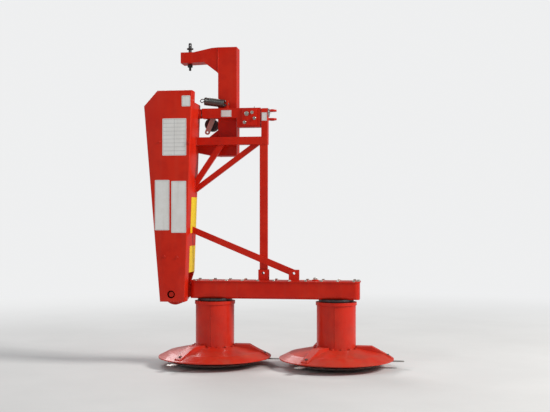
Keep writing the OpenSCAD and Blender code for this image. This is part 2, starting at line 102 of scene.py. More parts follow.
class Body(Enum):
    """Moving bodies of the machine."""

    BEAM = "beam"
    DRUM_INNER = "drum_inner"
    DRUM_OUTER = "drum_outer"
    ARM = "arm"
    INPUT = "pto_shaft"
    HITCH = "hitch"


class Pick(Enum):
    """What an edit selects."""

    FACE = "FACE"
    EDGE = "EDGE"


@dataclass(frozen=True)
class Solid:
    """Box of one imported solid, in metres, with its faces in millimetres on the drawing."""

    low: Vector
    high: Vector

    @classmethod
    def of(cls, node: str) -> "Solid":
        """Returns the box of the named solid."""
        return cls(*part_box(node))

    @property
    def centre(self) -> Vector:
        """Middle of the box."""
        return (self.low + self.high) / 2

    @property
    def left(self) -> float:
        """Left face, from the inner drum's axis."""
        return mm_from_axis(self.low.x)

    @property
    def right(self) -> float:
        """Right face, from the inner drum's axis."""
        return mm_from_axis(self.high.x)

    @property
    def front(self) -> float:
        """Front face, from the drums' plane."""
        return self.low.y / MM

    @property
    def back(self) -> float:
        """Back face, from the drums' plane."""
        return self.high.y / MM

    @property
    def foot(self) -> float:
        """Underside, above the ground."""
        return self.low.z / MM

    @property
    def top(self) -> float:
        """Top, above the ground."""
        return self.high.z / MM


DRUM_AXIS_X = Solid.of("spindle_inner").centre.x


def place(x: float, y: float, z: float) -> Vector:
    """Turns a place on the drawing into metres in the frame.

    Args:
        x: Millimetres to the right of the inner drum's axis.
        y: Millimetres towards the tractor from the drums' plane.
        z: Millimetres above the ground.

    Returns:
        The point in the frame.
    """
    return Vector((DRUM_AXIS_X + x * MM, y * MM, z * MM))


def mm_from_axis(x: float) -> float:
    """Millimetres from the inner drum's axis to an X in the frame."""
    return (x - DRUM_AXIS_X) / MM


def only(piece: Piece) -> None:
    """Makes a piece the only one selected, and the active one.

    Args:
        piece: The piece.
    """
    bpy.ops.object.select_all(action="DESELECT")
    piece.select_set(True)
    bpy.context.view_layer.objects.active = piece


def apply_place(piece: Piece) -> None:
    """Puts the piece's place, turn and scale into its mesh."""
    only(piece)
    bpy.ops.object.transform_apply(location=True, rotation=True, scale=True)


@contextmanager
def editing(piece: Piece) -> Iterator[None]:
    """Opens a piece in edit mode for the length of a with block.

    Args:
        piece: The mesh to edit.

    Returns:
        The context, which leaves edit mode at its end.
    """
    only(piece)
    bpy.ops.object.mode_set(mode="EDIT")
    try:
        yield
    finally:
        bpy.ops.object.mode_set(mode="OBJECT")


def pick(kind: Pick, test: Test) -> None:
    """Selects faces or edges of the mesh in edit mode.

    Args:
        kind: Faces or edges.
        test: Takes the middle and the heading, a face's normal or an edge's
            direction, and says whether the face or edge is wanted.
    """
    bpy.ops.mesh.select_mode(type=kind.value)
    bpy.ops.mesh.select_all(action="DESELECT")
    data = bpy.context.object.data
    mesh = bmesh.from_edit_mesh(data)
    if kind is Pick.FACE:
        for face in mesh.faces:
            if test(face.calc_center_median(), face.normal):
                face.select_set(True)
    else:
        for edge in mesh.edges:
            first, second = (vertex.co for vertex in edge.verts)
            if test((first + second) / 2, (second - first).normalized()):
                edge.select_set(True)
    bmesh.update_edit_mesh(data)


def towards(direction: Vector) -> Test:
    """Test for pick that finds what faces a direction, given as a unit vector."""
    return lambda middle, heading: heading.dot(direction) > FACING


def apply_modifier(piece: Piece, kind: str, **settings: object) -> None:
    """Adds a modifier with its settings and applies it.

    Args:
        piece: The mesh that gets it.
        kind: Blender's name of the modifier's type.
        **settings: The modifier's properties.
    """
    only(piece)
    modifier = piece.modifiers.new(kind.lower(), kind)
    for name, value in settings.items():
        setattr(modifier, name, value)
    bpy.ops.object.modifier_apply(modifier=modifier.name)


def soften(piece: Piece, width: float, segments: int = 2, angle: float = 40) -> None:
    """Rounds the hard edges of a piece.

    Args:
        piece: The mesh.
        width: Width of the rounding in millimetres.
        segments: Steps in it.
        angle: Edges that turn less than this many degrees stay.
    """
    apply_modifier(piece, "BEVEL", width=width * MM, segments=segments,
                   limit_method="ANGLE", angle_limit=radians(angle), harden_normals=False)


def cut(piece: Piece, cutter: Piece) -> None:
    """Cuts one mesh out of another and removes the cutter."""
    apply_modifier(piece, "BOOLEAN", object=cutter, operation="DIFFERENCE", solver="EXACT")
    bpy.data.objects.remove(cutter)


def join(pieces: Sequence[Piece]) -> Piece:
    """Joins meshes into the first of them.

    Args:
        pieces: The meshes.

    Returns:
        The joined mesh.
    """
    only(pieces[0])
    for piece in pieces[1:]:
        piece.select_set(True)
    if len(pieces) > 1:
        bpy.ops.object.join()
    return pieces[0]


def copy_of(piece: Piece, matrix: Matrix) -> Piece:
    """Copies a mesh, with data of its own, to a place and turn.

    Args:
        piece: The mesh to copy, modelled at the frame's origin.
        matrix: Where the copy goes.

    Returns:
        The copy.
    """
    only(piece)
    bpy.ops.object.duplicate(linked=False)
    twin = bpy.context.object
    twin.matrix_world = matrix
    apply_place(twin)
    return twin


def repeat(seed: Piece, places: Sequence[Matrix]) -> Piece:
    """Copies a piece to several places, as one mesh, and removes the first.

    Args:
        seed: The piece, modelled at the frame's origin.
        places: Where the copies go.

    Returns:
        The joined copies.
    """
    copies = [copy_of(seed, matrix) for matrix in places]
    bpy.data.objects.remove(seed)
    return join(copies)


def facing(point: Vector, outward: Vector, spin: float = 0.0) -> Matrix:
    """Matrix that stands a piece modelled along +Z on a surface.

    Args:
        point: Place on the surface.
        outward: Direction away from the surface.
        spin: Turn about that direction, in radians.

    Returns:
        The matrix.
    """
    turn = outward.to_track_quat("Z", "Y").to_matrix().to_4x4()
    return Matrix.Translation(point) @ turn @ Matrix.Rotation(spin, 4, "Z")


def upright_ring(middle: Vector, radius: float, outward: Vector, count: int) -> list[Matrix]:
    """Spaces places evenly on an upright circle that faces along Y.

    Args:
        middle: Middle of the circle, in metres.
        radius: Radius in millimetres.
        outward: Direction away from the surface.
        count: Number of places. The first is half a step up from +X.

    Returns:
        The places.
    """
    places = []
    for number in range(count):
        angle = radians(360 / count * (number + 0.5))
        spot = middle + Vector((cos(angle), 0, sin(angle))) * radius * MM
        places.append(facing(spot, outward, angle))
    return places


def add_block(low: Vector, high: Vector) -> Piece:
    """Adds a block between two corners, as a start for a piece.

    Args:
        low: Its lowest corner, in metres.
        high: Its highest corner.

    Returns:
        The block.
    """
    bpy.ops.object.select_all(action="DESELECT")
    bpy.ops.mesh.primitive_cube_add(size=1, location=(low + high) / 2, scale=high - low)
    apply_place(bpy.context.object)
    return bpy.context.object


def add_rod(start: Vector, end: Vector, radius: float, sides: int) -> Piece:
    """Adds a round or many-sided bar between two points.

    Args:
        start: Middle of one end, in metres.
        end: Middle of the other end.
        radius: Radius in millimetres.
        sides: Sides round the bar.

    Returns:
        The bar, with its place in its mesh.
    """
    along = end - start
    bpy.ops.object.select_all(action="DESELECT")
    bpy.ops.mesh.primitive_cylinder_add(vertices=sides, radius=radius * MM, depth=along.length)
    bar = bpy.context.object
    bar.matrix_world = facing((start + end) / 2, along)
    apply_place(bar)
    return bar


def drill(piece: Piece, middle: Vector, along: Vector, reach: float, radius: float,
          sides: int) -> None:
    """Drills a round hole.

    Args:
        piece: The mesh.
        middle: Middle of the hole, in metres.
        along: Direction of the drill, as a unit vector.
        reach: How far it goes to both sides, in millimetres.
        radius: Radius of the hole in millimetres.
        sides: Sides round the hole.
    """
    way = along * reach * MM
    cut(piece, add_rod(middle - way, middle + way, radius, sides))


def add_sheet(points: Sequence[Vector], depth: Vector) -> Piece:
    """Adds a flat outline and pushes it out into a solid.

    Args:
        points: Corners of the outline in order, in metres.
        depth: How far and which way it is extruded.

    Returns:
        The solid.
    """
    piece = add_loop(points, "NGON")
    with editing(piece):
        bpy.ops.mesh.select_all(action="SELECT")
        bpy.ops.mesh.extrude_region_move(TRANSFORM_OT_translate={"value": depth})
        bpy.ops.mesh.select_all(action="SELECT")
        bpy.ops.mesh.normals_make_consistent(inside=False)
    return piece


def add_loop(points: Sequence[Vector], fill: str = "NOTHING") -> Piece:
    """Adds a closed loop through the given points.

    Args:
        points: The loop's points in order, in metres.
        fill: Blender's fill type of the circle that it starts from.

    Returns:
        The loop.
    """
    bpy.ops.object.select_all(action="DESELECT")
    bpy.ops.mesh.primitive_circle_add(vertices=len(points), radius=1, fill_type=fill)
    loop = bpy.context.object
    for vertex, point in zip(loop.data.vertices, points):
        vertex.co = point
    return loop


def add_turned(profile: Profile, matrix: Matrix, steps: int) -> Piece:
    """Spins a profile about Z, as on a lathe, and stands it somewhere.

    Args:
        profile: Closed profile as (radius, height) in millimetres.
        matrix: Where the turned piece goes.
        steps: Facets round it.

    Returns:
        The turned piece.
    """
    piece = add_loop([Vector((r * MM, 0, z * MM)) for r, z in profile])
    with editing(piece):
        bpy.ops.mesh.select_all(action="SELECT")
        bpy.ops.mesh.spin(steps=steps, angle=2 * pi, center=(0, 0, 0), axis=(0, 0, 1))
        bpy.ops.mesh.select_all(action="SELECT")
        bpy.ops.mesh.remove_doubles(threshold=MERGED)
        bpy.ops.mesh.normals_make_consistent(inside=False)
    piece.matrix_world = matrix
    apply_place(piece)
    return piece


def add_wire(points: Sequence[Vector], radius: float) -> Piece:
    """Adds a bent round wire along points.

    Args:
        points: Route of the wire's middle, in metres.
        radius: Radius of the wire in millimetres.

    Returns:
        The wire as a mesh, with closed ends.
    """
    curve = bpy.data.curves.new("wire", "CURVE")
    curve.dimensions = "3D"
    curve.bevel_depth = radius * MM
    curve.bevel_resolution = 3
    curve.use_fill_caps = True
    route = curve.splines.new("POLY")
    route.points.add(len(points) - 1)
    for knot, point in zip(route.points, points):
        knot.co = (*point, 1)
    wire = bpy.data.objects.new("wire", curve)
    bpy.context.scene.collection.objects.link(wire)
    only(wire)
    bpy.ops.object.convert(target="MESH")
    return bpy.context.object


def add_weld(start: Vector, end: Vector, width: float) -> Piece:
    """Adds a weld seam as a row of overlapping beads.

    Args:
        start: Where the seam begins, in metres.
        end: Where it ends.
        width: Width of the seam in millimetres.

    Returns:
        The seam.
    """
    pitch = BEAD_PITCH * width * MM
    along = end - start
    bead = add_bead(width)
    apply_modifier(bead, "ARRAY", count=max(2, ceil(along.length / pitch)),
                   use_relative_offset=False, use_constant_offset=True,
                   constant_offset_displace=(0, 0, pitch))
    bead.matrix_world = facing(start, along)
    apply_place(bead)
    return bead


def add_bead(width: float) -> Piece:
    """Adds one weld bead at the origin, flattened along Z.

    Args:
        width: Width of the seam in millimetres.

    Returns:
        The bead.
    """
    bpy.ops.object.select_all(action="DESELECT")
    bpy.ops.mesh.primitive_uv_sphere_add(segments=8, ring_count=5, radius=width / 2 * MM,
                                         scale=(1, 1, BEAD_THICK))
    apply_place(bpy.context.object)
    return bpy.context.object


def add_seams(routes: Sequence[Route], width: float) -> list[Piece]:
    """Adds a weld seam of one width along each route, in millimetres on the drawing."""
    return [add_weld(place(*start), place(*end), width) for start, end in routes]


def add_ring_weld(centre: Vector, radius: float, width: float) -> Piece:
    """Adds a level weld seam round an upright tube.

    Args:
        centre: Middle of the ring, in metres.
        radius: Radius of the ring in millimetres.
        width: Width of the seam in millimetres.

    Returns:
        The seam.
    """
    bead = add_bead(width)
    bead.location = (radius * MM, 0, 0)
    apply_place(bead)
    with editing(bead):
        bpy.ops.mesh.select_all(action="SELECT")
        bpy.ops.mesh.spin(steps=ceil(2 * pi * radius / (BEAD_PITCH * width)), angle=2 * pi,
                          dupli=True, center=(0, 0, 0), axis=(0, 0, 1))
    bead.location = centre
    apply_place(bead)
    return bead


def round_corners(plate: Piece, along: Vector, radius: float) -> None:
    """Rounds the corner edges of a plate that run along one direction.

    Args:
        plate: A block or an extruded outline.
        along: Direction of the edges.
        radius: Corner radius in millimetres.
    """
    with editing(plate):
        pick(Pick.EDGE, lambda middle, heading: abs(heading.dot(along)) > PARALLEL)
        bpy.ops.mesh.bevel(offset=radius * MM, segments=5)


class Graph:
    """Adds and links the nodes of one shader tree."""

    spacing: int = 200

    def __init__(self, tree: Tree) -> None:
        """Keeps the tree that nodes are added to."""
        self.tree = tree

    @classmethod
    def on(cls, owner: bpy.types.Material | bpy.types.World) -> "Graph":
        """Opens the shader tree of a material or of the world, emptied.

        Args:
            owner: The material or the world.

        Returns:
            Its graph.
        """
        owner.use_nodes = True
        owner.node_tree.nodes.clear()
        return cls(owner.node_tree)

    def node(self, kind: str, **settings: object) -> Node:
        """Adds a node and sets its properties.

        Args:
            kind: Blender's type name without its ShaderNode prefix.
            **settings: Properties of the node.

        Returns:
            The node.
        """
        node = self.tree.nodes.new("ShaderNode" + kind)
        node.location = (self.spacing * len(self.tree.nodes), 0)
        for name, value in settings.items():
            setattr(node, name, value)
        return node

    def feed(self, socket: Socket, value: Feed) -> None:
        """Links a socket, or sets its value where a plain one is given.

        Args:
            socket: The input.
            value: An output of another node, or a plain value.
        """
        if isinstance(value, Socket):
            self.tree.links.new(value, socket)
        else:
            socket.default_value = value

    def feed_all(self, node: Node, values: dict[str | int, Feed]) -> None:
        """Feeds several inputs of a node, each under its name or its number."""
        for key, value in values.items():
            self.feed(node.inputs[key], value)

    def coordinates(self, shift: tuple[float, float, float] = (0, 0, 0)) -> Socket:
        """Object coordinates, moved.

        Args:
            shift: How far, in metres.

        Returns:
            The coordinates.
        """
        own = self.node("TexCoord").outputs["Object"]
        mapping = self.node("Mapping")
        self.feed_all(mapping, {"Vector": own, "Location": shift})
        return mapping.outputs["Vector"]

    def parts(self, vector: Socket) -> Node:
        """Parts a vector into its X, Y and Z.

        Args:
            vector: The vector.

        Returns:
            The node, with an output for each.
        """
        node = self.node("SeparateXYZ")
        self.feed(node.inputs[0], vector)
        return node

    def noise(self, scale: Feed, detail: float = 3, roughness: float = 0.5,
              where: Socket | None = None) -> Socket:
        """Value of a noise texture.

        Args:
            scale: Scale of its pattern, as a number or a socket.
            detail: Layers of finer noise.
            roughness: Weight of the finer layers.
            where: Coordinates that it reads. Without any, the object's.

        Returns:
            The noise, about 0 to 1.
        """
        texture = self.node("TexNoise")
        self.feed_all(texture, {
            "Vector": self.coordinates() if where is None else where,
            "Scale": scale,
            "Detail": detail,
            "Roughness": roughness,
        })
        return texture.outputs["Fac"]

    def cells(self, scale: float) -> Socket:
        """Distance to the nearest rim in a net of cells.

        Args:
            scale: Cells to a metre.

        Returns:
            The distance.
        """
        texture = self.node("TexVoronoi", feature="DISTANCE_TO_EDGE")
        self.feed_all(texture, {"Vector": self.coordinates(), "Scale": scale})
        return texture.outputs["Distance"]

    def maths(self, operation: str, first: Feed, second: Feed, clamp: bool = False) -> Socket:
        """Result of a calculation with two values.

        Args:
            operation: Blender's name of the calculation.
            first: First value or socket.
            second: Second value or socket.
            clamp: Whether the result is held between 0 and 1.

        Returns:
            The result.
        """
        node = self.node("Math", operation=operation, use_clamp=clamp)
        self.feed_all(node, {0: first, 1: second})
        return node.outputs[0]

    def times(self, first: Feed, second: Feed) -> Socket:
        """Product of two values."""
        return self.maths("MULTIPLY", first, second)

    def ramp(self, value: Feed, start: float, end: float,
             low: float = 0.0, high: float = 1.0) -> Socket:
        """Maps a value smoothly from one range to another.

        Args:
            value: What is mapped.
            start: Value that gives low.
            end: Value that gives high.
            low: Result at the start.
            high: Result at the end.

        Returns:
            The mapped value.
        """
        node = self.node("MapRange", interpolation_type="SMOOTHSTEP")
        self.feed_all(node, {
            "Value": value, "From Min": start, "From Max": end, "To Min": low, "To Max": high,
        })
        return node.outputs["Result"]

    def mix(self, share: Feed, first: Feed, second: Feed) -> Socket:
        """Mixes two colours.

        Args:
            share: How much of the second shows.
            first: A colour or a socket.
            second: A colour or a socket.

        Returns:
            The mixed colour.
        """
        node = self.node("Mix", data_type="RGBA")
        self.feed(node.inputs[0], share)
        for socket, colour in ((node.inputs[6], first), (node.inputs[7], second)):
            self.feed(socket, colour if isinstance(colour, Socket) else (*colour, 1))
        return node.outputs[2]

    def blend(self, share: Feed, first: Node, second: Node, output: Node) -> None:
        """Mixes two shaders and leads them to the output.

        Args:
            share: How much of the second shows.
            first: Node of the first shader.
            second: Node of the second shader.
            output: The tree's output node.
        """
        mixed = self.node("MixShader")
        self.feed_all(mixed, {0: share, 1: first.outputs[0], 2: second.outputs[0]})
        self.feed(output.inputs["Surface"], mixed.outputs[0])

    def group(self, tree: Tree, **values: Feed) -> Node:
        """Places a shared group and gives its named inputs their values.

        Args:
            tree: The group.
            **values: Values of its inputs.

        Returns:
            The group's node.
        """
        node = self.node("Group", node_tree=tree)
        self.feed_all(node, values)
        return node


def open_group(name: str, inputs: dict[str, float],
               outputs: dict[str, str]) -> tuple[Graph, Node, Node]:
    """Starts a shared node group.

    Args:
        name: Name of the group.
        inputs: Names of its inputs with their usual values.
        outputs: Names of its outputs with their kinds, Float or Vector.

    Returns:
        The group's graph, its input node and its output node.
    """
    tree = bpy.data.node_groups.new(name, "ShaderNodeTree")
    new_socket = tree.interface.new_socket
    for label, usual in inputs.items():
        socket = new_socket(name=label, in_out="INPUT", socket_type="NodeSocketFloat")
        socket.default_value = usual
    for label, kind in outputs.items():
        new_socket(name=label, in_out="OUTPUT", socket_type=f"NodeSocket{kind}")
    return Graph(tree), tree.nodes.new("NodeGroupInput"), tree.nodes.new("NodeGroupOutput")


@lru_cache(maxsize=None)
def edge_group() -> Tree:
    """Group that rounds hard edges in the shading and masks where they are rubbed.

    Returns:
        The group.
    """
    graph, given, result = open_group("rounded_edges", {"Radius": 0.002, "Wear": 0.3},
                                      {"Normal": "Vector", "Rubbed": "Float"})
    rounded = graph.node("Bevel", samples=6)
    graph.feed(rounded.inputs["Radius"], given.outputs["Radius"])
    normal = rounded.outputs["Normal"]
    bend = graph.node("VectorMath", operation="DOT_PRODUCT")
    graph.feed_all(bend, {0: normal, 1: graph.node("NewGeometry").outputs["Normal"]})
    edge = graph.ramp(bend.outputs["Value"], start=0.985, end=0.86)
    speckle = graph.ramp(graph.noise(70, detail=5, roughness=0.7), start=0.50, end=0.62)
    rubbed = graph.times(graph.times(edge, speckle), given.outputs["Wear"])
    graph.feed_all(result, {"Normal": normal, "Rubbed": rubbed})
    return graph.tree


@lru_cache(maxsize=None)
def dust_group() -> Tree:
    """Group that masks dust: thick near the ground and thin on level tops.

    Returns:
        The group.
    """
    graph, given, result = open_group("yard_dust", {"Reach": 0.5, "Low": 0.5, "Top": 0.2},
                                      {"Dust": "Float"})
    own = graph.node("TexCoord").outputs
    spot, upward = graph.parts(own["Object"]), graph.parts(own["Normal"])
    height = graph.maths("DIVIDE", spot.outputs["Z"], given.outputs["Reach"])
    near_ground = graph.times(graph.ramp(height, start=1.0, end=0.0), given.outputs["Low"])
    level = graph.ramp(upward.outputs["Z"], start=0.55, end=0.98)
    on_tops = graph.times(level, given.outputs["Top"])
    cloudy = graph.noise(9, detail=6, roughness=0.62)
    patches = graph.ramp(cloudy, start=0.36, end=0.70, low=0.25)
    lying = graph.maths("ADD", near_ground, on_tops, clamp=True)
    graph.feed(result.inputs["Dust"], graph.times(lying, patches))
    return graph.tree


@lru_cache(maxsize=None)
def grain_group() -> Tree:
    """Group with a fine surface grain and a slow change of tone.

    Returns:
        The group.
    """
    graph, given, result = open_group("surface_grain", {"Grain": 450, "Patch": 3},
                                      {"Height": "Float", "Tone": "Float"})
    slow = graph.noise(given.outputs["Patch"], detail=5, roughness=0.6)
    graph.feed_all(result, {
        "Height": graph.noise(given.outputs["Grain"], detail=2),
        "Tone": graph.ramp(slow, start=0.3, end=0.7),
    })
    return graph.tree


@lru_cache(maxsize=None)
def streak_group() -> Tree:
    """Group that masks fine streaks: rain marks down a face or a tool's marks.

    Returns:
        The group.
    """
    graph, given, result = open_group("streaks", {"Across": 120, "Along": 3},
                                      {"Streaks": "Float"})
    across, along = given.outputs["Across"], given.outputs["Along"]
    stretch = graph.node("CombineXYZ")
    graph.feed_all(stretch, {"X": across, "Y": across, "Z": along})
    stretched = graph.node("VectorMath", operation="MULTIPLY")
    graph.feed_all(stretched, {
        0: graph.node("TexCoord").outputs["Object"],
        1: stretch.outputs["Vector"],
    })
    drawn_out = graph.noise(1.0, detail=4, roughness=0.6, where=stretched.outputs[0])
    graph.feed(result.inputs["Streaks"], graph.ramp(drawn_out, start=0.5, end=0.72))
    return graph.tree


@dataclass(frozen=True)
class Finish:
    """A surface finish. Subclasses wire their own colours and roughness.

    Radii and depths are in millimetres, grain and patch are the scales of the
    surface's grain and of its slow change of tone.
    """

    name: str
    slot: Slot
    edge_radius: float = 2.0
    wear: float = 0.0
    bump: float = 0.10
    bump_depth: float = 0.12
    grain: float = 450.0
    patch: float = 3.0

    @lru_cache(maxsize=None)
    def material(self) -> bpy.types.Material:
        """Builds the finish's material, once.

        Returns:
            The material.
        """
        material = bpy.data.materials.new(self.name)
        graph = Graph.on(material)
        shader = graph.node("BsdfPrincipled")
        graph.feed(graph.node("OutputMaterial").inputs["Surface"], shader.outputs["BSDF"])
        edges = graph.group(edge_group(), Radius=self.edge_radius * MM, Wear=self.wear)
        relief = graph.node("Bump")
        graph.feed_all(relief, {
            "Strength": self.bump,
            "Distance": self.bump_depth * MM,
            "Height": self.wire(graph, shader, edges.outputs["Rubbed"]),
            "Normal": edges.outputs["Normal"],
        })
        graph.feed(shader.inputs["Normal"], relief.outputs["Normal"])
        return material

    def wire(self, graph: Graph, shader: Node, rubbed: Socket) -> Socket:
        """Wires colour and roughness.

        Args:
            graph: The material's graph.
            shader: Its Principled BSDF.
            rubbed: Mask of the rubbed edges.

        Returns:
            The height that the bump reads.
        """
        raise NotImplementedError

    def grained(self, graph: Graph) -> Node:
        """Places the shared grain group with this finish's scales."""
        return graph.group(grain_group(), Grain=self.grain, Patch=self.patch)


@dataclass(frozen=True)
class Paint(Finish):
    """Gloss machine paint with faded patches, dust, rain marks and chipped edges."""

    name: str = "gloss_red"
    slot: Slot = Slot.PAINT
    wear: float = 0.55
    grain: float = 520.0
    patch: float = 2.6
    colour: Colour = (0.62, 0.014, 0.003)
    faded: Colour = (0.66, 0.022, 0.005)
    deep: Colour = (0.48, 0.009, 0.003)
    deep_share: float = 0.5
    mottle: float = 14.0
    primer: Colour = (0.20, 0.17, 0.16)
    chip_depth: float = 3.0
    dust: Colour = (0.30, 0.17, 0.11)
    dust_reach: float = 0.55
    dust_low: float = 0.20
    dust_top: float = 0.08
    rain_across: float = 60.0
    rain_along: float = 2.0
    rain_share: float = 0.045
    gloss: Range = (0.28, 0.40)
    veil_dulls: float = 0.5
    coat: Range = (0.15, 0.02)
    coat_roughness: float = 0.08
    specular: float = 0.20

    def wire(self, graph: Graph, shader: Node, rubbed: Socket) -> Socket:
        """Wires the paint's colour and gloss.

        Args:
            graph: The material's graph.
            shader: Its Principled BSDF.
            rubbed: Mask of the chipped edges.

        Returns:
            The height that the bump reads.
        """
        grain = self.grained(graph)
        dust = graph.group(dust_group(), Reach=self.dust_reach, Low=self.dust_low,
                           Top=self.dust_top)
        rain = graph.group(streak_group(), Across=self.rain_across, Along=self.rain_along)
        mottled = graph.ramp(graph.noise(self.mottle, detail=4), start=0.35, end=0.75,
                             high=self.deep_share)
        film = graph.times(rain.outputs["Streaks"], self.rain_share)
        veil = graph.maths("ADD", dust.outputs["Dust"], film, clamp=True)
        colour = graph.mix(grain.outputs["Tone"], self.colour, self.faded)
        colour = graph.mix(mottled, colour, self.deep)
        colour = graph.mix(veil, colour, self.dust)
        clean = graph.ramp(grain.outputs["Tone"], 0, 1, *self.gloss)
        graph.feed_all(shader, {
            "Base Color": graph.mix(rubbed, colour, self.primer),
            "Roughness": graph.maths("ADD", clean, graph.times(veil, self.veil_dulls)),
            "Coat Weight": graph.ramp(veil, 0, 0.5, *self.coat),
            "Coat Roughness": self.coat_roughness,
            "Specular IOR Level": self.specular,
        })
        chipped = graph.times(rubbed, self.chip_depth)
        return graph.maths("SUBTRACT", grain.outputs["Height"], chipped)


@dataclass(frozen=True)
class Metal(Finish):
    """Bare, plated or blackened steel with tool marks, stains and brighter edges."""

    name: str = "worked_steel"
    slot: Slot = Slot.STEEL
    wear: float = 0.5
    grain: float = 300.0
    patch: float = 11.0
    colour: Colour = (0.46, 0.45, 0.44)
    stain: Colour = (0.30, 0.24, 0.19)
    stain_share: float = 0.45
    stain_scale: float = 24.0
    bright: Colour = (0.72, 0.71, 0.69)
    across: float = 220.0
    along: float = 220.0
    mark_share: float = 0.35
    metallic: float = 0.9
    soiled_share: float = 0.3
    smooth: float = 0.32
    dull: float = 0.52
    dust: Colour = (0.33, 0.29, 0.25)
    dust_reach: float = 0.30
    dust_low: float = 0.30
    dust_top: float = 0.10

    def wire(self, graph: Graph, shader: Node, rubbed: Socket) -> Socket:
        """Wires the metal's colour and sheen.

        Args:
            graph: The material's graph.
            shader: Its Principled BSDF.
            rubbed: Mask of the polished edges.

        Returns:
            The height that the bump reads.
        """
        grain = self.grained(graph)
        streaks = graph.group(streak_group(), Across=self.across, Along=self.along)
        marks = streaks.outputs["Streaks"]
        dust = graph.group(dust_group(), Reach=self.dust_reach, Low=self.dust_low,
                           Top=self.dust_top).outputs["Dust"]
        spotty = graph.noise(self.stain_scale, detail=8, roughness=0.65)
        spots = graph.ramp(spotty, start=0.46, end=0.66)
        stains = graph.times(spots, self.stain_share)
        colour = graph.mix(stains, self.colour, self.stain)
        colour = graph.mix(graph.times(marks, self.mark_share), colour, self.bright)
        colour = graph.mix(rubbed, colour, self.bright)
        bare = graph.ramp(graph.maths("ADD", stains, dust), 0, 1, 1, self.soiled_share)
        uneven = graph.maths("ADD", grain.outputs["Tone"], stains)
        graph.feed_all(shader, {
            "Base Color": graph.mix(dust, colour, self.dust),
            "Metallic": graph.times(bare, self.metallic),
            "Roughness": graph.ramp(uneven, 0, 1.3, self.smooth, self.dull),
        })
        return graph.maths("ADD", grain.outputs["Height"], marks)


@dataclass(frozen=True)
class Plate(Finish):
    """Pale enamelled plate with a thin printed border, and rules where it has rows.

    It also holds the plate's place and size, in millimetres on the drawing.
    """

    name: str = "plate"
    slot: Slot = Slot.ZINC
    edge_radius: float = 0.4
    grain: float = 600.0
    patch: float = 16.0
    left: float = 0.0
    foot: float = 0.0
    width: float = 100.0
    height: float = 100.0
    thick: float = 0.8
    corner: float = 5.0
    rows: int = 0
    columns: int = 1
    border: float = 5.0
    line: float = 1.1
    line_core: float = 0.4
    ground: Colour = (0.84, 0.84, 0.82)
    ink: Colour = (0.12, 0.12, 0.12)
    ink_share: float = 0.75
    soil: Colour = (0.40, 0.34, 0.28)
    soil_share: float = 0.16
    rain_across: float = 80.0
    rain_along: float = 3.0
    rain_share: float = 0.14
    gloss: Range = (0.34, 0.5)

    def wire(self, graph: Graph, shader: Node, rubbed: Socket) -> Socket:
        """Wires the plate's border, rules and enamel.

        Args:
            graph: The material's graph.
            shader: Its Principled BSDF.
            rubbed: Mask of the rubbed edges, not used.

        Returns:
            The height that the bump reads.
        """
        corner = place(self.left, 0, self.foot)
        spot = graph.parts(graph.coordinates(shift=(-corner.x, 0, -corner.z))).outputs
        across = self.lines(graph, spot["X"], self.width * MM, self.columns)
        up = self.lines(graph, spot["Z"], self.height * MM, self.rows)
        inside = graph.maths("MINIMUM", self.within(graph, spot["X"], self.width * MM),
                             self.within(graph, spot["Z"], self.height * MM))
        printed = graph.times(graph.maths("MAXIMUM", across, up), inside)
        grain = self.grained(graph)
        rain = graph.group(streak_group(), Across=self.rain_across, Along=self.rain_along)
        soiled = graph.maths("ADD", graph.times(grain.outputs["Tone"], self.soil_share),
                             graph.times(rain.outputs["Streaks"], self.rain_share))
        colour = graph.mix(soiled, self.ground, self.soil)
        graph.feed_all(shader, {
            "Base Color": graph.mix(graph.times(printed, self.ink_share), colour, self.ink),
            "Roughness": graph.ramp(grain.outputs["Tone"], 0, 1, *self.gloss),
        })
        return grain.outputs["Height"]

    def lines(self, graph: Graph, along: Socket, length: float, count: int) -> Socket:
        """Mask of the border lines and of the rules between them.

        Args:
            graph: The material's graph.
            along: Coordinate across the lines, from the plate's corner.
            length: Length of the plate that way, in metres.
            count: Fields between the borders. 0 and 1 draw the borders alone.

        Returns:
            The mask.
        """
        step = (length - 2 * self.border * MM) / max(count, 1)
        from_border = graph.maths("SUBTRACT", along, (self.border - self.line / 2) * MM)
        nearest = graph.maths("PINGPONG", from_border, step / 2)
        return graph.ramp(nearest, self.line * MM, self.line_core * self.line * MM)

    def within(self, graph: Graph, along: Socket, length: float) -> Socket:
        """Mask of the field that the border closes, one way across the plate.

        Args:
            graph: The material's graph.
            along: Coordinate from the plate's corner.
            length: Length of the plate that way, in metres.

        Returns:
            The mask.
        """
        inset = (self.border - self.line) * MM
        return graph.times(graph.maths("GREATER_THAN", along, inset),
                           graph.maths("LESS_THAN", along, length - inset))


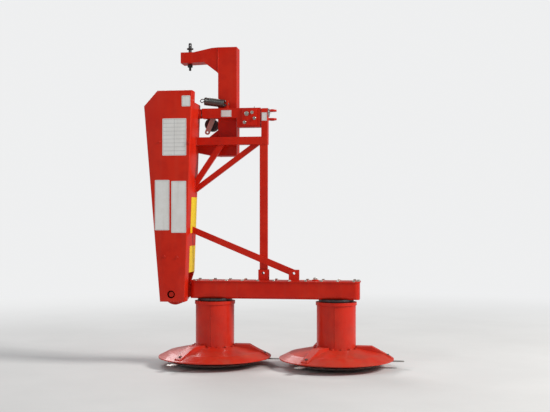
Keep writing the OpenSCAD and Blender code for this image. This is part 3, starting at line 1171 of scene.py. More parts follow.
@dataclass(frozen=True)
class Reflector(Finish):
    """Yellow reflective film with a fine net of cells and clear rims."""

    name: str = "reflective_yellow"
    slot: Slot = Slot.ZINC
    edge_radius: float = 0.3
    grain: float = 400.0
    patch: float = 8.0
    colour: Colour = (0.84, 0.57, 0.004)
    net: Colour = (0.92, 0.70, 0.05)
    net_share: float = 0.6
    cells: float = 260.0
    dust: Colour = (0.35, 0.25, 0.14)
    dust_reach: float = 1.2
    dust_low: float = 0.18
    dust_top: float = 0.0
    gloss: Range = (0.32, 0.42)
    specular: float = 0.2

    def wire(self, graph: Graph, shader: Node, rubbed: Socket) -> Socket:
        """Wires the film's cells.

        Args:
            graph: The material's graph.
            shader: Its Principled BSDF.
            rubbed: Mask of the rubbed edges, not used.

        Returns:
            The height that the bump reads.
        """
        net = graph.ramp(graph.cells(self.cells), start=0.10, end=0.03)
        grain = self.grained(graph)
        dust = graph.group(dust_group(), Reach=self.dust_reach, Low=self.dust_low,
                           Top=self.dust_top)
        colour = graph.mix(graph.times(net, self.net_share), self.colour, self.net)
        graph.feed_all(shader, {
            "Base Color": graph.mix(dust.outputs["Dust"], colour, self.dust),
            "Roughness": graph.ramp(grain.outputs["Tone"], 0, 1, *self.gloss),
            "Specular IOR Level": self.specular,
        })
        return net


RED = Paint()
RED_WELD = Paint(name="painted_weld", edge_radius=1.0, bump=0.25, wear=0.0)
STEEL = Metal(name="turned_steel")
SAUCER = Metal(
    name="rubbed_saucer_steel", colour=(0.33, 0.32, 0.31), stain=(0.24, 0.16, 0.11),
    stain_share=0.6, across=40.0, along=40.0, dust_low=0.5,
)
KNIFE = Metal(
    name="ground_knife_steel", colour=(0.50, 0.49, 0.47), stain=(0.36, 0.31, 0.25),
    stain_share=0.4, bright=(0.62, 0.61, 0.59), smooth=0.36, dull=0.52, across=300.0,
    dust_low=0.16, edge_radius=0.8,
)
SPRING = Metal(
    name="oiled_spring_steel", slot=Slot.ZINC, colour=(0.15, 0.155, 0.15),
    stain=(0.20, 0.15, 0.10), bright=(0.46, 0.46, 0.44), smooth=0.26, dull=0.42,
    edge_radius=0.6,
)
ZINC = Metal(
    name="zinc_plate", slot=Slot.ZINC, colour=(0.60, 0.60, 0.55), stain=(0.46, 0.42, 0.30),
    stain_share=0.4, bright=(0.80, 0.80, 0.76), smooth=0.26, dull=0.44, edge_radius=1.0,
)
DARK = Metal(
    name="blackened_steel", slot=Slot.DARK, colour=(0.050, 0.050, 0.054),
    stain=(0.10, 0.075, 0.06), bright=(0.30, 0.30, 0.30), metallic=0.6, smooth=0.36,
    dull=0.56, wear=0.8,
)


def finish_piece(piece: Piece, name: str, finish: Finish, body: Body,
                 smooth: float = 38) -> Piece:
    """Names a piece, gives it its finish and lets it ride on its body.

    Args:
        piece: The mesh, with its place in it.
        name: Name of the piece.
        finish: Its surface finish.
        body: The body that it moves with.
        smooth: Edges that turn less than this many degrees look round.

    Returns:
        The piece.
    """
    apply_place(piece)
    bpy.ops.object.shade_smooth_by_angle(angle=radians(smooth))
    piece.name = name
    piece.data.name = name
    piece.data.materials.clear()
    piece.data.materials.append(finish.material())
    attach(piece, body.value)
    LOG.info("%s: %d faces on %s", name, len(piece.data.polygons), body.value)
    return piece


def finish_seams(seams: Sequence[Piece], name: str, body: Body) -> Piece:
    """Joins weld seams and gives them the finish of painted welds."""
    return finish_piece(join(seams), name, RED_WELD, body, smooth=60)


def dress(finish: Finish, *nodes: str) -> None:
    """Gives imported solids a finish.

    Args:
        finish: The finish.
        *nodes: Names of the solids.
    """
    for name in nodes:
        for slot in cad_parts[name].material_slots:
            slot.material = finish.material()
        LOG.info("%s: packed solid in %s", name, finish.name)


def add_plate(finish: Plate, front: float, body: Body) -> None:
    """Sets a thin plate with round corners on an upright front face.

    Args:
        finish: The plate's finish, with its place and size.
        front: The face, in millimetres from the drums' plane.
        body: The body that it moves with.
    """
    low = place(finish.left, front - finish.thick, finish.foot)
    high = place(finish.left + finish.width, front + SUNK, finish.foot + finish.height)
    plate = add_block(low, high)
    round_corners(plate, ALONG_Y, finish.corner)
    finish_piece(plate, finish.name, finish, body)


@dataclass(frozen=True)
class HexBolt:
    """A hexagon head on its washer, with sizes in millimetres."""

    flats: float
    head: float
    washer: float = 1.8
    washer_share: float = 0.60
    washer_rim: float = 1
    chamfer: float = 0.07

    def seed(self) -> Piece:
        """Models one bolt head at the origin, pointing up.

        Returns:
            The bolt head with its washer.
        """
        levels = (-SUNK, self.washer, self.washer + self.head)
        foot, face, top = (ALONG_Z * level * MM for level in levels)
        across_corners = self.flats / cos(pi / 6)
        washer = add_rod(foot, face, self.washer_share * self.flats + self.washer_rim,
                         sides=24)
        head = add_rod(face, top, across_corners / 2, sides=6)
        with editing(head):
            pick(Pick.FACE, towards(ALONG_Z))
            bpy.ops.mesh.bevel(offset=self.chamfer * self.flats * MM, segments=2)
        return join([washer, head])

    def row(self, places: Sequence[Matrix]) -> Piece:
        """Models bolts at several places as one piece."""
        return repeat(self.seed(), places)


@dataclass(frozen=True)
class GreaseNipple:
    """A grease nipple on its six-sided foot, with sizes in millimetres."""

    foot_r: float = 5
    foot: float = 4
    sunk: float = 0.5
    profile: Profile = (
        (CORE, 3.5), (3.4, 3.5), (3.4, 5), (2.1, 7.5), (3.2, 9.5), (3.2, 11), (1.6, 13), (CORE, 13),
    )

    def build(self, matrix: Matrix) -> Piece:
        """Models the nipple.

        Args:
            matrix: Where its foot stands and which way it points.

        Returns:
            The nipple.
        """
        under, top = -ALONG_Z * self.sunk * MM, ALONG_Z * self.foot * MM
        foot = add_rod(under, top, self.foot_r, sides=6)
        nipple = join([foot, add_turned(self.profile, Matrix.Identity(4), steps=20)])
        nipple.matrix_world = matrix
        apply_place(nipple)
        return nipple


@dataclass(frozen=True)
class Lamp:
    """One soft square lamp, with its place and size in metres and its power in watts."""

    name: str
    spot: Point
    size: float
    power: float
    tint: Colour


@dataclass
class Studio:
    """Pale floor, even background, soft lamps and the camera, with places in metres."""

    eye: Vector = field(default_factory=lambda: Vector((0.8255, -5.87, 0.93)))
    aim: Vector = field(default_factory=lambda: Vector((0.0, 0.0, 1.03)))
    lens: float = 60.0
    floor_r: float = 60.0
    floor_tone: Colour = (0.74, 0.74, 0.735)
    floor_shade: float = 0.95
    floor_rough: Range = (0.75, 0.9)
    pale: Colour = (0.86, 0.865, 0.87)
    fade: Range = (1.9, 6.5)
    sky: Colour = (0.97, 0.98, 1.0)
    sky_strength: float = 0.27
    mirrored_strength: float = 0.24
    lamp_aim: Vector = field(default_factory=lambda: Vector((0, 0, 0.9)))
    lamps: tuple[Lamp, ...] = (
        Lamp("key", (8.6, -1.8, 6.2), 3.0, 960, (1.0, 0.985, 0.955)),
        Lamp("fill", (-7.4, -6.4, 5.2), 4.5, 200, (0.98, 0.99, 1.0)),
        Lamp("back", (-4.8, 7.4, 6.2), 4.0, 400, (0.98, 0.99, 1.0)),
    )

    def build(self) -> None:
        """Builds the whole stage."""
        self.build_floor()
        self.build_world()
        self.build_lamps()
        self.build_camera()
        bpy.context.scene.view_settings.view_transform = "Standard"

    def build_floor(self) -> None:
        """Lays a wide round floor."""
        bpy.ops.object.select_all(action="DESELECT")
        bpy.ops.mesh.primitive_circle_add(vertices=96, radius=self.floor_r, fill_type="NGON")
        floor = bpy.context.object
        floor.name = "studio_floor"
        floor.data.materials.append(self.floor_material())

    def floor_material(self) -> bpy.types.Material:
        """Pale matt floor paint that turns into the even background away from the machine.

        Returns:
            The material.
        """
        material = bpy.data.materials.new("pale_floor")
        graph = Graph.on(material)
        uneven = graph.ramp(graph.noise(1.1, detail=5, roughness=0.6), start=0.3, end=0.7)
        darker = tuple(self.floor_shade * part for part in self.floor_tone)
        paint = graph.node("BsdfPrincipled")
        graph.feed_all(paint, {
            "Base Color": graph.mix(uneven, self.floor_tone, darker),
            "Roughness": graph.ramp(uneven, 0, 1, *self.floor_rough),
            "Specular IOR Level": 0.0,
        })
        distance = graph.node("VectorMath", operation="LENGTH")
        graph.feed(distance.inputs[0], graph.node("TexCoord").outputs["Object"])
        away = graph.ramp(distance.outputs["Value"], *self.fade)
        seen, strength = self.background(graph)
        even = graph.node("Emission")
        graph.feed_all(even, {"Color": (*self.pale, 1), "Strength": strength})
        graph.blend(graph.times(away, seen), paint, even, graph.node("OutputMaterial"))
        return material

    def build_world(self) -> None:
        """Lights the surroundings softly and shows the camera a pale background."""
        world = bpy.data.worlds.new("studio_world")
        bpy.context.scene.world = world
        graph = Graph.on(world)
        light = graph.node("Background")
        graph.feed_all(light, {"Color": (*self.sky, 1), "Strength": self.sky_strength})
        seen, strength = self.background(graph)
        even = graph.node("Background")
        graph.feed_all(even, {"Color": (*self.pale, 1), "Strength": strength})
        graph.blend(seen, light, even, graph.node("OutputWorld"))

    def background(self, graph: Graph) -> tuple[Socket, Socket]:
        """Wires who sees the even background, and how bright.

        Args:
            graph: Graph of the floor's material or of the world.

        Returns:
            The mask of the camera's and the mirrored rays, and the strength:
            full for the camera and lower for the rest.
        """
        rays = graph.node("LightPath").outputs
        mirrored = graph.maths("MAXIMUM", rays["Is Glossy Ray"], rays["Is Transmission Ray"])
        seen = graph.maths("MAXIMUM", rays["Is Camera Ray"], mirrored)
        return seen, graph.ramp(rays["Is Camera Ray"], 0, 1, low=self.mirrored_strength)

    def build_lamps(self) -> None:
        """Hangs a key lamp high on the right, a fill at the front and a low lamp at the back."""
        for lamp in self.lamps:
            light = bpy.data.lights.new(lamp.name, "AREA")
            light.size = lamp.size
            light.energy = lamp.power
            light.color = lamp.tint
            self.hold(lamp.name, light, Vector(lamp.spot), self.lamp_aim)

    def build_camera(self) -> None:
        """Puts the camera where the photographer stood."""
        camera = bpy.data.cameras.new("camera")
        camera.lens = self.lens
        bpy.context.scene.camera = self.hold("camera", camera, self.eye, self.aim)

    def hold(self, name: str, tool: bpy.types.ID, spot: Vector, aim: Vector) -> bpy.types.Object:
        """Holds a lamp or the camera at a spot, turned to what it looks at.

        Args:
            name: Name of the object.
            tool: The lamp or the camera.
            spot: Where it stands.
            aim: What it is turned to.

        Returns:
            The object that holds it.
        """
        holder = bpy.data.objects.new(name, tool)
        bpy.context.scene.collection.objects.link(holder)
        holder.location = spot
        holder.rotation_euler = (aim - spot).to_track_quat("-Z", "Y").to_euler()
        return holder


@dataclass
class BeltCover:
    """Folded sheet cover over the belts, with its plates and screws."""

    foot_w: float = 160
    lean: float = 47
    corner_w: float = 88
    corner_h: float = 98
    wall: float = 3
    fold: float = 5
    hole_r: float = 25
    hole_reach: float = 10
    fold_axis: Spot = (-250, 465)
    screw: HexBolt = HexBolt(13, 5.3)
    screw_turn: float = 0.2
    screws: tuple[Spot, ...] = ((-329, 1438), (-138, 1430), (-294, 706), (-211, 700))
    plates: tuple[Plate, ...] = (
        Plate("table_plate", left=-308, foot=1351, width=156, height=237, rows=9, columns=2),
        Plate("small_plate", left=-182, foot=1664, width=56, height=69),
        Plate("long_plate", left=-357, foot=874, width=95, height=321),
        Plate("wide_plate", left=-249, foot=858, width=97, height=330),
    )

    def __post_init__(self) -> None:
        """Reads the cover's box."""
        self.box = Solid.of("belt_cover")

    def outline(self) -> list[Vector]:
        """Corners of the cover's front, seen from the front.

        Returns:
            The corners in order.
        """
        box = self.box
        foot_right = box.right - self.lean
        flat = [(foot_right - self.foot_w, box.foot), (foot_right, box.foot), (box.right, box.top),
                (box.left + self.corner_w, box.top), (box.left, box.top - self.corner_h)]
        return [place(x, box.front, z) for x, z in flat]

    def right_edge(self, z: float) -> float:
        """Finds the cover's right edge at a height.

        Args:
            z: The height in millimetres.

        Returns:
            Millimetres from the inner drum's axis to the edge.
        """
        share = (z - self.box.foot) / (self.box.top - self.box.foot)
        return self.box.right - self.lean * (1 - share)

    def build(self) -> None:
        """Builds the cover and dresses it."""
        self.build_cover()
        for plate in self.plates:
            add_plate(plate, self.box.front, Body.ARM)
        spots = [facing(place(x, self.box.front, z), -ALONG_Y, self.screw_turn * x)
                 for x, z in self.screws]
        finish_piece(self.screw.row(spots), "cover_screws", RED, Body.ARM)

    def build_cover(self) -> None:
        """Folds the cover from one sheet and cuts the hole at its foot."""
        front, back = self.box.low.y, self.box.high.y
        cover = add_sheet(self.outline(), ALONG_Y * (back - front))
        with editing(cover):
            pick(Pick.FACE, towards(ALONG_Y))
            bpy.ops.mesh.delete(type="FACE")
            pick(Pick.EDGE, lambda middle, heading: middle.y < front + ON_FACE)
            bpy.ops.mesh.bevel(offset=self.fold * MM, segments=4)
        apply_modifier(cover, "SOLIDIFY", thickness=self.wall * MM, offset=-1,
                       use_even_offset=True)
        x, z = self.fold_axis
        drill(cover, place(x, self.box.front, z), ALONG_Y, self.hole_reach, self.hole_r,
              sides=48)
        finish_piece(cover, "folded_cover", RED, Body.ARM)
        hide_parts("belt_cover")


@dataclass
class ArmGirder:
    """Box girder behind the cover: reflective bands, seams and the drive input's screws."""

    cover: BeltCover
    bands: tuple[Range, ...] = ((855, 1088), (600, 771))
    band_margin: float = 6
    film: float = 0.8
    width: float = 150
    head_h: float = 160
    neck_h: float = 90
    rear_inset: float = 12
    seam: float = 7
    seam_out: float = 1
    seam_short: float = 4
    flange: float = 12
    screw: HexBolt = HexBolt(16, 6.4)
    screw_ring_r: float = 64
    screws: int = 6

    def __post_init__(self) -> None:
        """Reads the girder's box."""
        self.box = Solid.of("arm_girder")

    def build(self) -> None:
        """Dresses the girder."""
        dress(RED, "arm_girder", "back_plate", "rear_cheek", "pto_housing")
        self.build_bands()
        self.build_seams()
        self.build_flange_screws()

    def build_bands(self) -> None:
        """Sticks reflective bands on the girder's right side."""
        front = self.box.front + self.band_margin
        depth = self.box.back - self.band_margin - front
        for number, (low, high) in enumerate(self.bands, 1):
            foot, top = self.cover.right_edge(low), self.cover.right_edge(high)
            corners = [(foot, low), (foot + self.film, low), (top + self.film, high), (top, high)]
            band = add_sheet([place(x, front, z) for x, z in corners], ALONG_Y * depth * MM)
            finish_piece(band, f"reflective_band_{number}", Reflector(), Body.ARM)

    def build_seams(self) -> None:
        """Welds the girder along the back plate, and at the back under its foot."""
        out, short = self.seam_out, self.seam_short
        low, high, head_left = self.box.foot, self.box.top, self.box.left
        elbow = high - self.head_h
        neck = elbow - self.neck_h
        left = self.cover.right_edge(low) - self.width
        neck_left = self.cover.right_edge(neck) - self.width
        right = self.cover.right_edge(low) - short
        head_right = self.cover.right_edge(high) - short
        y, rear = self.box.front + out, self.box.back - self.rear_inset
        seams = add_seams([
            ((left, y, low + short), (neck_left, y, neck)),
            ((head_left - out, y, elbow), (head_left - out, y, high + out - short)),
            ((head_left, y, high + out), (head_right, y, high + out)),
            ((left, y, low - out), (right, y, low - out)),
            ((left + short, rear, low - out), (right, rear, low - out)),
        ], self.seam)
        finish_seams(seams, "girder_seams", Body.ARM)

    def build_flange_screws(self) -> None:
        """Screws the drive input's flange to the girder."""
        face = self.box.high.y + self.flange * MM
        middle = Vector((Solid.of("pto_housing").centre.x, face, Solid.of("pto_shaft").centre.z))
        spots = upright_ring(middle, self.screw_ring_r, ALONG_Y, self.screws)
        finish_piece(self.screw.row(spots), "flange_screws", ZINC, Body.ARM)


@dataclass
class DriveInput:
    """Splined drive shaft towards the tractor."""

    major_r: float = 17.45
    minor_r: float = 14.9
    splines: int = 6
    tooth: float = 8.7
    chamfer: float = 1.2
    groove_r: float = 14.7
    groove: Range = (25, 32)
    cutter_out: float = 4
    clear: float = 1
    journal_edge: float = 1.5

    def build(self) -> None:
        """Builds the shaft with its splines, its groove and its bearing journal."""
        box = Solid.of("pto_shaft")
        x, z = box.centre.x, box.centre.z
        end = box.high.y
        start = Solid.of("pto_housing").high.y + self.clear * MM
        section = [Vector((x + across, start, z + up)) for across, up in self.section()]
        stub = add_sheet(section, ALONG_Y * (end - start))
        with editing(stub):
            pick(Pick.FACE, towards(ALONG_Y))
            bpy.ops.mesh.bevel(offset=self.chamfer * MM, segments=1)
        low, high = self.groove
        outer_r = self.major_r + self.cutter_out
        ring = [(self.groove_r, low), (outer_r, low), (outer_r, high), (self.groove_r, high)]
        cut(stub, add_turned(ring, facing(Vector((x, end, z)), -ALONG_Y), steps=48))
        journal = add_rod(Vector((x, box.low.y, z)), Vector((x, start + self.clear * MM, z)),
                          (box.high.x - box.low.x) / 2 / MM, sides=48)
        soften(journal, self.journal_edge)
        shaft = join([stub, journal])
        finish_piece(shaft, "splined_shaft", STEEL, Body.INPUT)
        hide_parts("pto_shaft")

    def section(self) -> list[tuple[float, float]]:
        """Section of the splined end.

        Returns:
            Points as (x, z) in metres from the shaft's middle.
        """
        points = []
        half_major = self.tooth / 2 / self.major_r
        half_minor = self.tooth / 2 / self.minor_r
        tooth = ((-half_minor, self.minor_r), (-half_major, self.major_r), (0, self.major_r),
                 (half_major, self.major_r), (half_minor, self.minor_r),
                 (pi / self.splines, self.minor_r))
        for number in range(self.splines):
            angle = 2 * pi * number / self.splines
            for turn, r in tooth:
                points.append((r * cos(angle + turn) * MM, r * sin(angle + turn) * MM))
        return points


@dataclass
class Fork:
    """Fork on the girder that holds the king pin, with its braces, stay and strut."""

    cover: BeltCover
    seam: float = 6
    seam_out: float = 1
    seam_lean: float = 2
    braces: tuple[tuple[str, float], ...] = (("fork_brace", 45), ("fork_brace_long", 59))
    brace_h: float = 62
    strut_h: float = 46
    ring_r: float = 32
    ring_in: float = 3
    plate: Plate = Plate("lug_plate", left=303, width=34, height=54, thick=0.6, corner=3, border=3)
    plate_drop: float = 86

    def build(self) -> None:
        """Dresses the fork."""
        dress(RED, "fork_lug_low", "fork_arm", "fork_brace", "fork_brace_long", "fork_lug_high",
              "stay_bar", "strut")
        dress(STEEL, "king_pin")
        self.build_seams()
        self.build_nipple()
        self.build_plate()

    def build_seams(self) -> None:
        """Welds the fork's members to each other and to the girder."""
        seams = add_seams(self.arm_routes() + self.foot_routes(), self.seam)
        lug = Solid.of("fork_lug_low")
        middle = Vector((lug.low.x + self.ring_in * MM, lug.centre.y, lug.centre.z))
        ring = add_ring_weld(Vector((0, 0, 0)), self.ring_r, self.seam)
        ring.matrix_world = facing(middle, ALONG_X)
        apply_place(ring)
        finish_seams([*seams, ring], "fork_seams", Body.ARM)

    def arm_routes(self) -> list[Route]:
        """Routes of the seams on the fork's arm.

        Returns:
            Start and end of each, in millimetres on the drawing.
        """
        arm, lug, stay = (Solid.of(name) for name in ("fork_arm", "fork_lug_high", "stay_bar"))
        front, back, under, top = arm.front, arm.back, arm.foot, arm.top
        side = self.cover.right_edge(under) + self.seam_out
        top_side = side + self.seam_lean
        routes = [
            ((side, front, under), (top_side, front, top)),
            ((side, front, under), (side, back, under)),
            ((top_side, front, top), (top_side, back, top)),
            ((lug.left, lug.front, top), (lug.right, lug.front, top)),
            ((lug.left, lug.front, top), (lug.left, back, top)),
            ((stay.left, front, under), (stay.right, front, under)),
            ((stay.left, front, under), (stay.left, stay.back, under)),
        ]
        for name, width in self.braces:
            box = Solid.of(name)
            routes.append(((box.right - width, box.front, under), (box.right, box.front, under)))
        return routes

    def foot_routes(self) -> list[Route]:
        """Routes of the seams where braces and strut meet the girder.

        Returns:
            Start and end of each, in millimetres on the drawing.
        """
        strut = Solid.of("strut")
        braces = [Solid.of(name) for name, _ in self.braces]
        feet = [(brace.front, brace.foot, self.brace_h) for brace in braces]
        feet.append((strut.front, strut.top - self.strut_h, self.strut_h))
        routes = []
        for y, low, height in feet:
            edge = self.cover.right_edge(low) + self.seam_out
            routes.append(((edge, y, low), (edge + self.seam_lean, y, low + height)))
        return routes

    def build_nipple(self) -> None:
        """Sets a grease nipple in the king pin's head."""
        pin = Solid.of("king_pin")
        head = Vector((pin.high.x, pin.centre.y, pin.centre.z))
        nipple = GreaseNipple().build(facing(head, ALONG_X))
        finish_piece(nipple, "king_pin_nipple", ZINC, Body.ARM)

    def build_plate(self) -> None:
        """Sets a small plate on the high lug."""
        lug = Solid.of("fork_lug_high")
        plate = replace(self.plate, foot=lug.top - self.plate_drop)
        add_plate(plate, lug.front, Body.ARM)


@dataclass
class CuttingBeam:
    """Beam over the drums with its screwed lid, sockets and bearing collars."""

    lid_screw: HexBolt = HexBolt(17, 6.4)
    screw_turn: float = 0.7
    screw_y: float = 71
    screws_a_side: int = 11
    end_margin: float = 40
    end_screw: Spot = (14, 28)
    end_screw_turn: float = 0.4
    plug_x: float = 655
    plug: HexBolt = HexBolt(24, 10, 2.5)
    boss_r: float = 21
    boss_h: float = 8
    boss_edge: float = 2
    socket_seam: float = 5
    seam_up: float = 1

    def __post_init__(self) -> None:
        """Reads the lid's box."""
        self.lid = Solid.of("beam_lid")

    def build(self) -> None:
        """Dresses the beam."""
        dress(RED, "beam_housing", "beam_lid", "stay_socket", "strut_socket")
        # Near-black on the bearing collars is painted shade: it stands for the dark band in the
        # beam's shadow above the drums.
        dress(DARK, "collar_inner", "collar_outer")
        self.build_lid_screws()
        self.build_plug()
        self.build_seams()

    def build_lid_screws(self) -> None:
        """Screws the lid down along both sides and at its right end."""
        left, right = self.lid.left + self.end_margin, self.lid.right - self.end_margin
        step = (right - left) / (self.screws_a_side - 1)
        spots = [(left + step * number, side * self.screw_y, self.screw_turn * number)
                 for side in (-1, 1) for number in range(self.screws_a_side)]
        inset, across = self.end_screw
        spots += [(self.lid.right - inset, side * across, self.end_screw_turn)
                  for side in (-1, 1)]
        places = [facing(place(x, y, self.lid.top), ALONG_Z, turn) for x, y, turn in spots]
        finish_piece(self.lid_screw.row(places), "lid_screws", ZINC, Body.BEAM)

    def build_plug(self) -> None:
        """Sets the oil filler plug on its boss on the lid."""
        r, h, edge = self.boss_r, self.boss_h, self.boss_edge
        profile = [(CORE, -1), (r, -1), (r, h - edge), (r - edge, h), (CORE, h)]
        on_lid = facing(place(self.plug_x, 0, self.lid.top), ALONG_Z)
        boss = add_turned(profile, on_lid, steps=40)
        finish_piece(boss, "filler_boss", RED, Body.BEAM)
        plug = self.plug.row([facing(place(self.plug_x, 0, self.lid.top + h), ALONG_Z)])
        finish_piece(plug, "filler_plug", ZINC, Body.BEAM)

    def build_seams(self) -> None:
        """Welds the sockets to the lid, all round."""
        seams = []
        for name in ("stay_socket", "strut_socket"):
            box = Solid.of(name)
            z = box.foot + self.seam_up
            corners = [(box.left, box.front, z), (box.right, box.front, z),
                       (box.right, box.back, z), (box.left, box.back, z)]
            sides = list(zip(corners, corners[1:] + corners[:1]))
            seams += add_seams(sides, self.socket_seam)
        finish_seams(seams, "socket_seams", Body.BEAM)


@dataclass
class AngleDrive:
    """Angle drive at the foot of the arm, with its end face about the fold axis."""

    axis: Spot = BeltCover.fold_axis
    front: float = -66
    screw: HexBolt = HexBolt(13, 5.3)
    screws: int = 8
    ring_r: float = 60
    barrel_r: float = 73.5
    plug: HexBolt = HexBolt(22, 8, 2.0)
    plug_angle: float = 196

    def build(self) -> None:
        """Dresses the angle drive."""
        dress(RED, "gear_case")
        x, z = self.axis
        spots = upright_ring(place(x, self.front, z), self.ring_r, -ALONG_Y, self.screws)
        finish_piece(self.screw.row(spots), "angle_drive_screws", RED, Body.BEAM)
        angle = radians(self.plug_angle)
        out = Vector((cos(angle), 0, sin(angle)))
        plug = self.plug.row([facing(place(x, 0, z) + out * self.barrel_r * MM, out)])
        finish_piece(plug, "level_plug", ZINC, Body.BEAM)


@dataclass
class CuttingDrum:
    """One drum with its disc, knives and saucer."""

    side: str
    body: Body
    tube_r: float = 125
    cap: float = 20
    seam_angle: float = -90
    foot_seam: float = 8
    side_seam: float = 4
    cap_seam: float = 5
    seam_out: float = 1
    foot_seam_up: float = 1.5
    foot_screw: HexBolt = HexBolt(16, 7)
    foot_screw_r: float = 139
    foot_angles: tuple[float, ...] = (24, 48, 72, 96)
    thirds: tuple[float, ...] = (0, 120, 240)
    knife_w: float = 48
    heel: float = 22
    heel_cut: float = 8
    tip_cut: Spot = (6, 10)
    lip: float = 1.2
    blade_slope: float = 9
    blade_thick: float = 4
    pin_r: float = 325
    pin_head: Profile = ((9, 0), (14.5, 2), (17, 5), (17, 6.8))
    shank_r: float = 10
    shank_edge: float = 2

    def __post_init__(self) -> None:
        """Reads the drum's axis and box."""
        self.axis = Solid.of(f"spindle_{self.side}").centre
        self.drum = Solid.of(f"drum_{self.side}")

    def build(self) -> None:
        """Builds and dresses the drum."""
        dress(RED, f"drum_{self.side}", f"disc_{self.side}")
        dress(STEEL, f"spindle_{self.side}")
        dress(SAUCER, f"saucer_{self.side}")
        self.build_seams()
        self.build_foot_screws()
        self.build_knives()
        self.build_knife_pins()

    def on_axis(self, z: float) -> Vector:
        """Point on the drum's axis at a height in metres."""
        return Vector((self.axis.x, self.axis.y, z))

    def turned(self, angle: float) -> Matrix:
        """Matrix that turns a piece by degrees about the drum's axis, from the ground up."""
        return Matrix.Translation(self.on_axis(0)) @ Matrix.Rotation(radians(angle), 4, "Z")

    def build_seams(self) -> None:
        """Welds the drum's tube along its length, round its foot and under its cap."""
        foot, cap = self.drum.low.z, self.drum.high.z - self.cap * MM
        side = self.turned(self.seam_angle) @ Vector((self.tube_r * MM, 0, 0))
        ring_r = self.tube_r + self.seam_out
        seams = [
            add_ring_weld(self.on_axis(foot + self.foot_seam_up * MM), ring_r, self.foot_seam),
            add_weld(side + ALONG_Z * foot, side + ALONG_Z * cap, self.side_seam),
            add_ring_weld(self.on_axis(cap), ring_r, self.cap_seam),
        ]
        finish_seams(seams, f"drum_seams_{self.side}", self.body)

    def build_foot_screws(self) -> None:
        """Screws the disc to the drum's foot between its shoulders."""
        on_foot = Vector((self.foot_screw_r * MM, 0, self.drum.low.z))
        spots = [facing(self.turned(third + step) @ on_foot, ALONG_Z, radians(step))
                 for third in self.thirds for step in self.foot_angles]
        finish_piece(self.foot_screw.row(spots), f"foot_screws_{self.side}", RED, self.body)

    def build_knives(self) -> None:
        """Grinds one knife with sloped edges and sets three of them on the disc."""
        box = Solid.of(f"knives_{self.side}")
        heel, tip = self.pin_r - self.heel, (box.high.x - self.axis.x) / MM
        half, (tip_run, tip_side) = self.knife_w / 2, self.tip_cut
        edge = [(heel, half - self.heel_cut), (heel + self.heel_cut, half),
                (tip - tip_run, half), (tip, half - tip_side)]
        outline = [(x, -y) for x, y in edge] + edge[::-1]
        seed = add_sheet([Vector((x * MM, y * MM, box.low.z)) for x, y in outline],
                         ALONG_Z * self.lip * MM)
        with editing(seed):
            pick(Pick.FACE, towards(ALONG_Z))
            bpy.ops.mesh.inset(thickness=self.blade_slope * MM, depth=0)
            bpy.ops.transform.translate(value=(0, 0, (self.blade_thick - self.lip) * MM))
        knives = repeat(seed, [self.turned(third) for third in self.thirds])
        finish_piece(knives, f"ground_knives_{self.side}", KNIFE, self.body, smooth=20)
        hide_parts(f"knives_{self.side}")

    def build_knife_pins(self) -> None:
        """Turns the knife pins: a domed head below the knife, a shank up through the shoulder."""
        box = Solid.of(f"knife_bolts_{self.side}")
        low, high, r, edge = box.foot, box.top, self.shank_r, self.shank_edge
        head = [(radius, low + up) for radius, up in self.pin_head]
        profile = [(CORE, low), *head, (r, head[-1][1]), (r, high - edge), (r - edge, high),
                   (CORE, high)]
        seed = add_turned(profile, Matrix.Translation((self.pin_r * MM, 0, 0)), steps=32)
        pins = repeat(seed, [self.turned(third) for third in self.thirds])
        finish_piece(pins, f"knife_pins_{self.side}", DARK, self.body)
        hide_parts(f"knife_bolts_{self.side}")


@dataclass
class HitchPin:
    """One lower hitch pin with its threaded stub, nut, shoulder and cross hole."""

    side: str
    up: int
    radius: float = 11
    stub_r: float = 8
    stub: float = 22
    stub_edge: float = 1
    nut_r: float = 18
    nut: float = 20
    nut_edge: float = 1.5
    shoulder_r: float = 22
    shoulder: float = 8
    shoulder_edge: float = 1.5
    shoulder_clear: float = 0.2
    tip: float = 5
    tip_in: float = 2.5
    hole_r: float = 5.5
    hole_margin: float = 14
    hole_reach: float = 30

    def profile(self, length: float, face: float) -> Profile:
        """Profile of the pin from its stub to its tip.

        Args:
            length: Length of the whole pin in millimetres.
            face: Distance of the shoulder's inner face from the stub's end.

        Returns:
            The profile as (radius, height).
        """
        r, stub_r, edge = self.radius, self.stub_r, self.shoulder_edge
        outer = face + self.shoulder
        return [
            (CORE, 0), (stub_r - self.stub_edge, 0), (stub_r, self.stub_edge), (stub_r, self.stub),
            (r, self.stub), (r, face), (self.shoulder_r, face), (self.shoulder_r, outer - edge),
            (self.shoulder_r - edge, outer), (r, outer), (r, length - self.tip),
            (r - self.tip_in, length), (CORE, length),
        ]

    def build(self) -> None:
        """Turns the pin, drills it and screws its nut on."""
        box = Solid.of(f"hitch_pin_{self.side}")
        arm = Solid.of(f"hitch_arm_{self.side}")
        heading = ALONG_Z * self.up
        foot_z, arm_z = (box.low.z, arm.high.z) if self.up > 0 else (box.high.z, arm.low.z)
        foot = Vector((box.centre.x, box.centre.y, foot_z))
        length = (box.high.z - box.low.z) / MM
        face = abs(arm_z - foot.z) / MM + self.shoulder_clear
        pin = add_turned(self.profile(length, face), facing(foot, heading), steps=48)
        across = foot + heading * (length - self.hole_margin) * MM
        drill(pin, across, ALONG_Y, self.hole_reach, self.hole_r, sides=24)
        nut = add_rod(foot + heading * self.stub * MM,
                      foot + heading * (self.stub + self.nut) * MM, self.nut_r, sides=6)
        soften(nut, self.nut_edge, angle=50)
        pin = join([pin, nut])
        finish_piece(pin, f"turned_hitch_pin_{self.side}", DARK, Body.HITCH)
        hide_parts(f"hitch_pin_{self.side}")


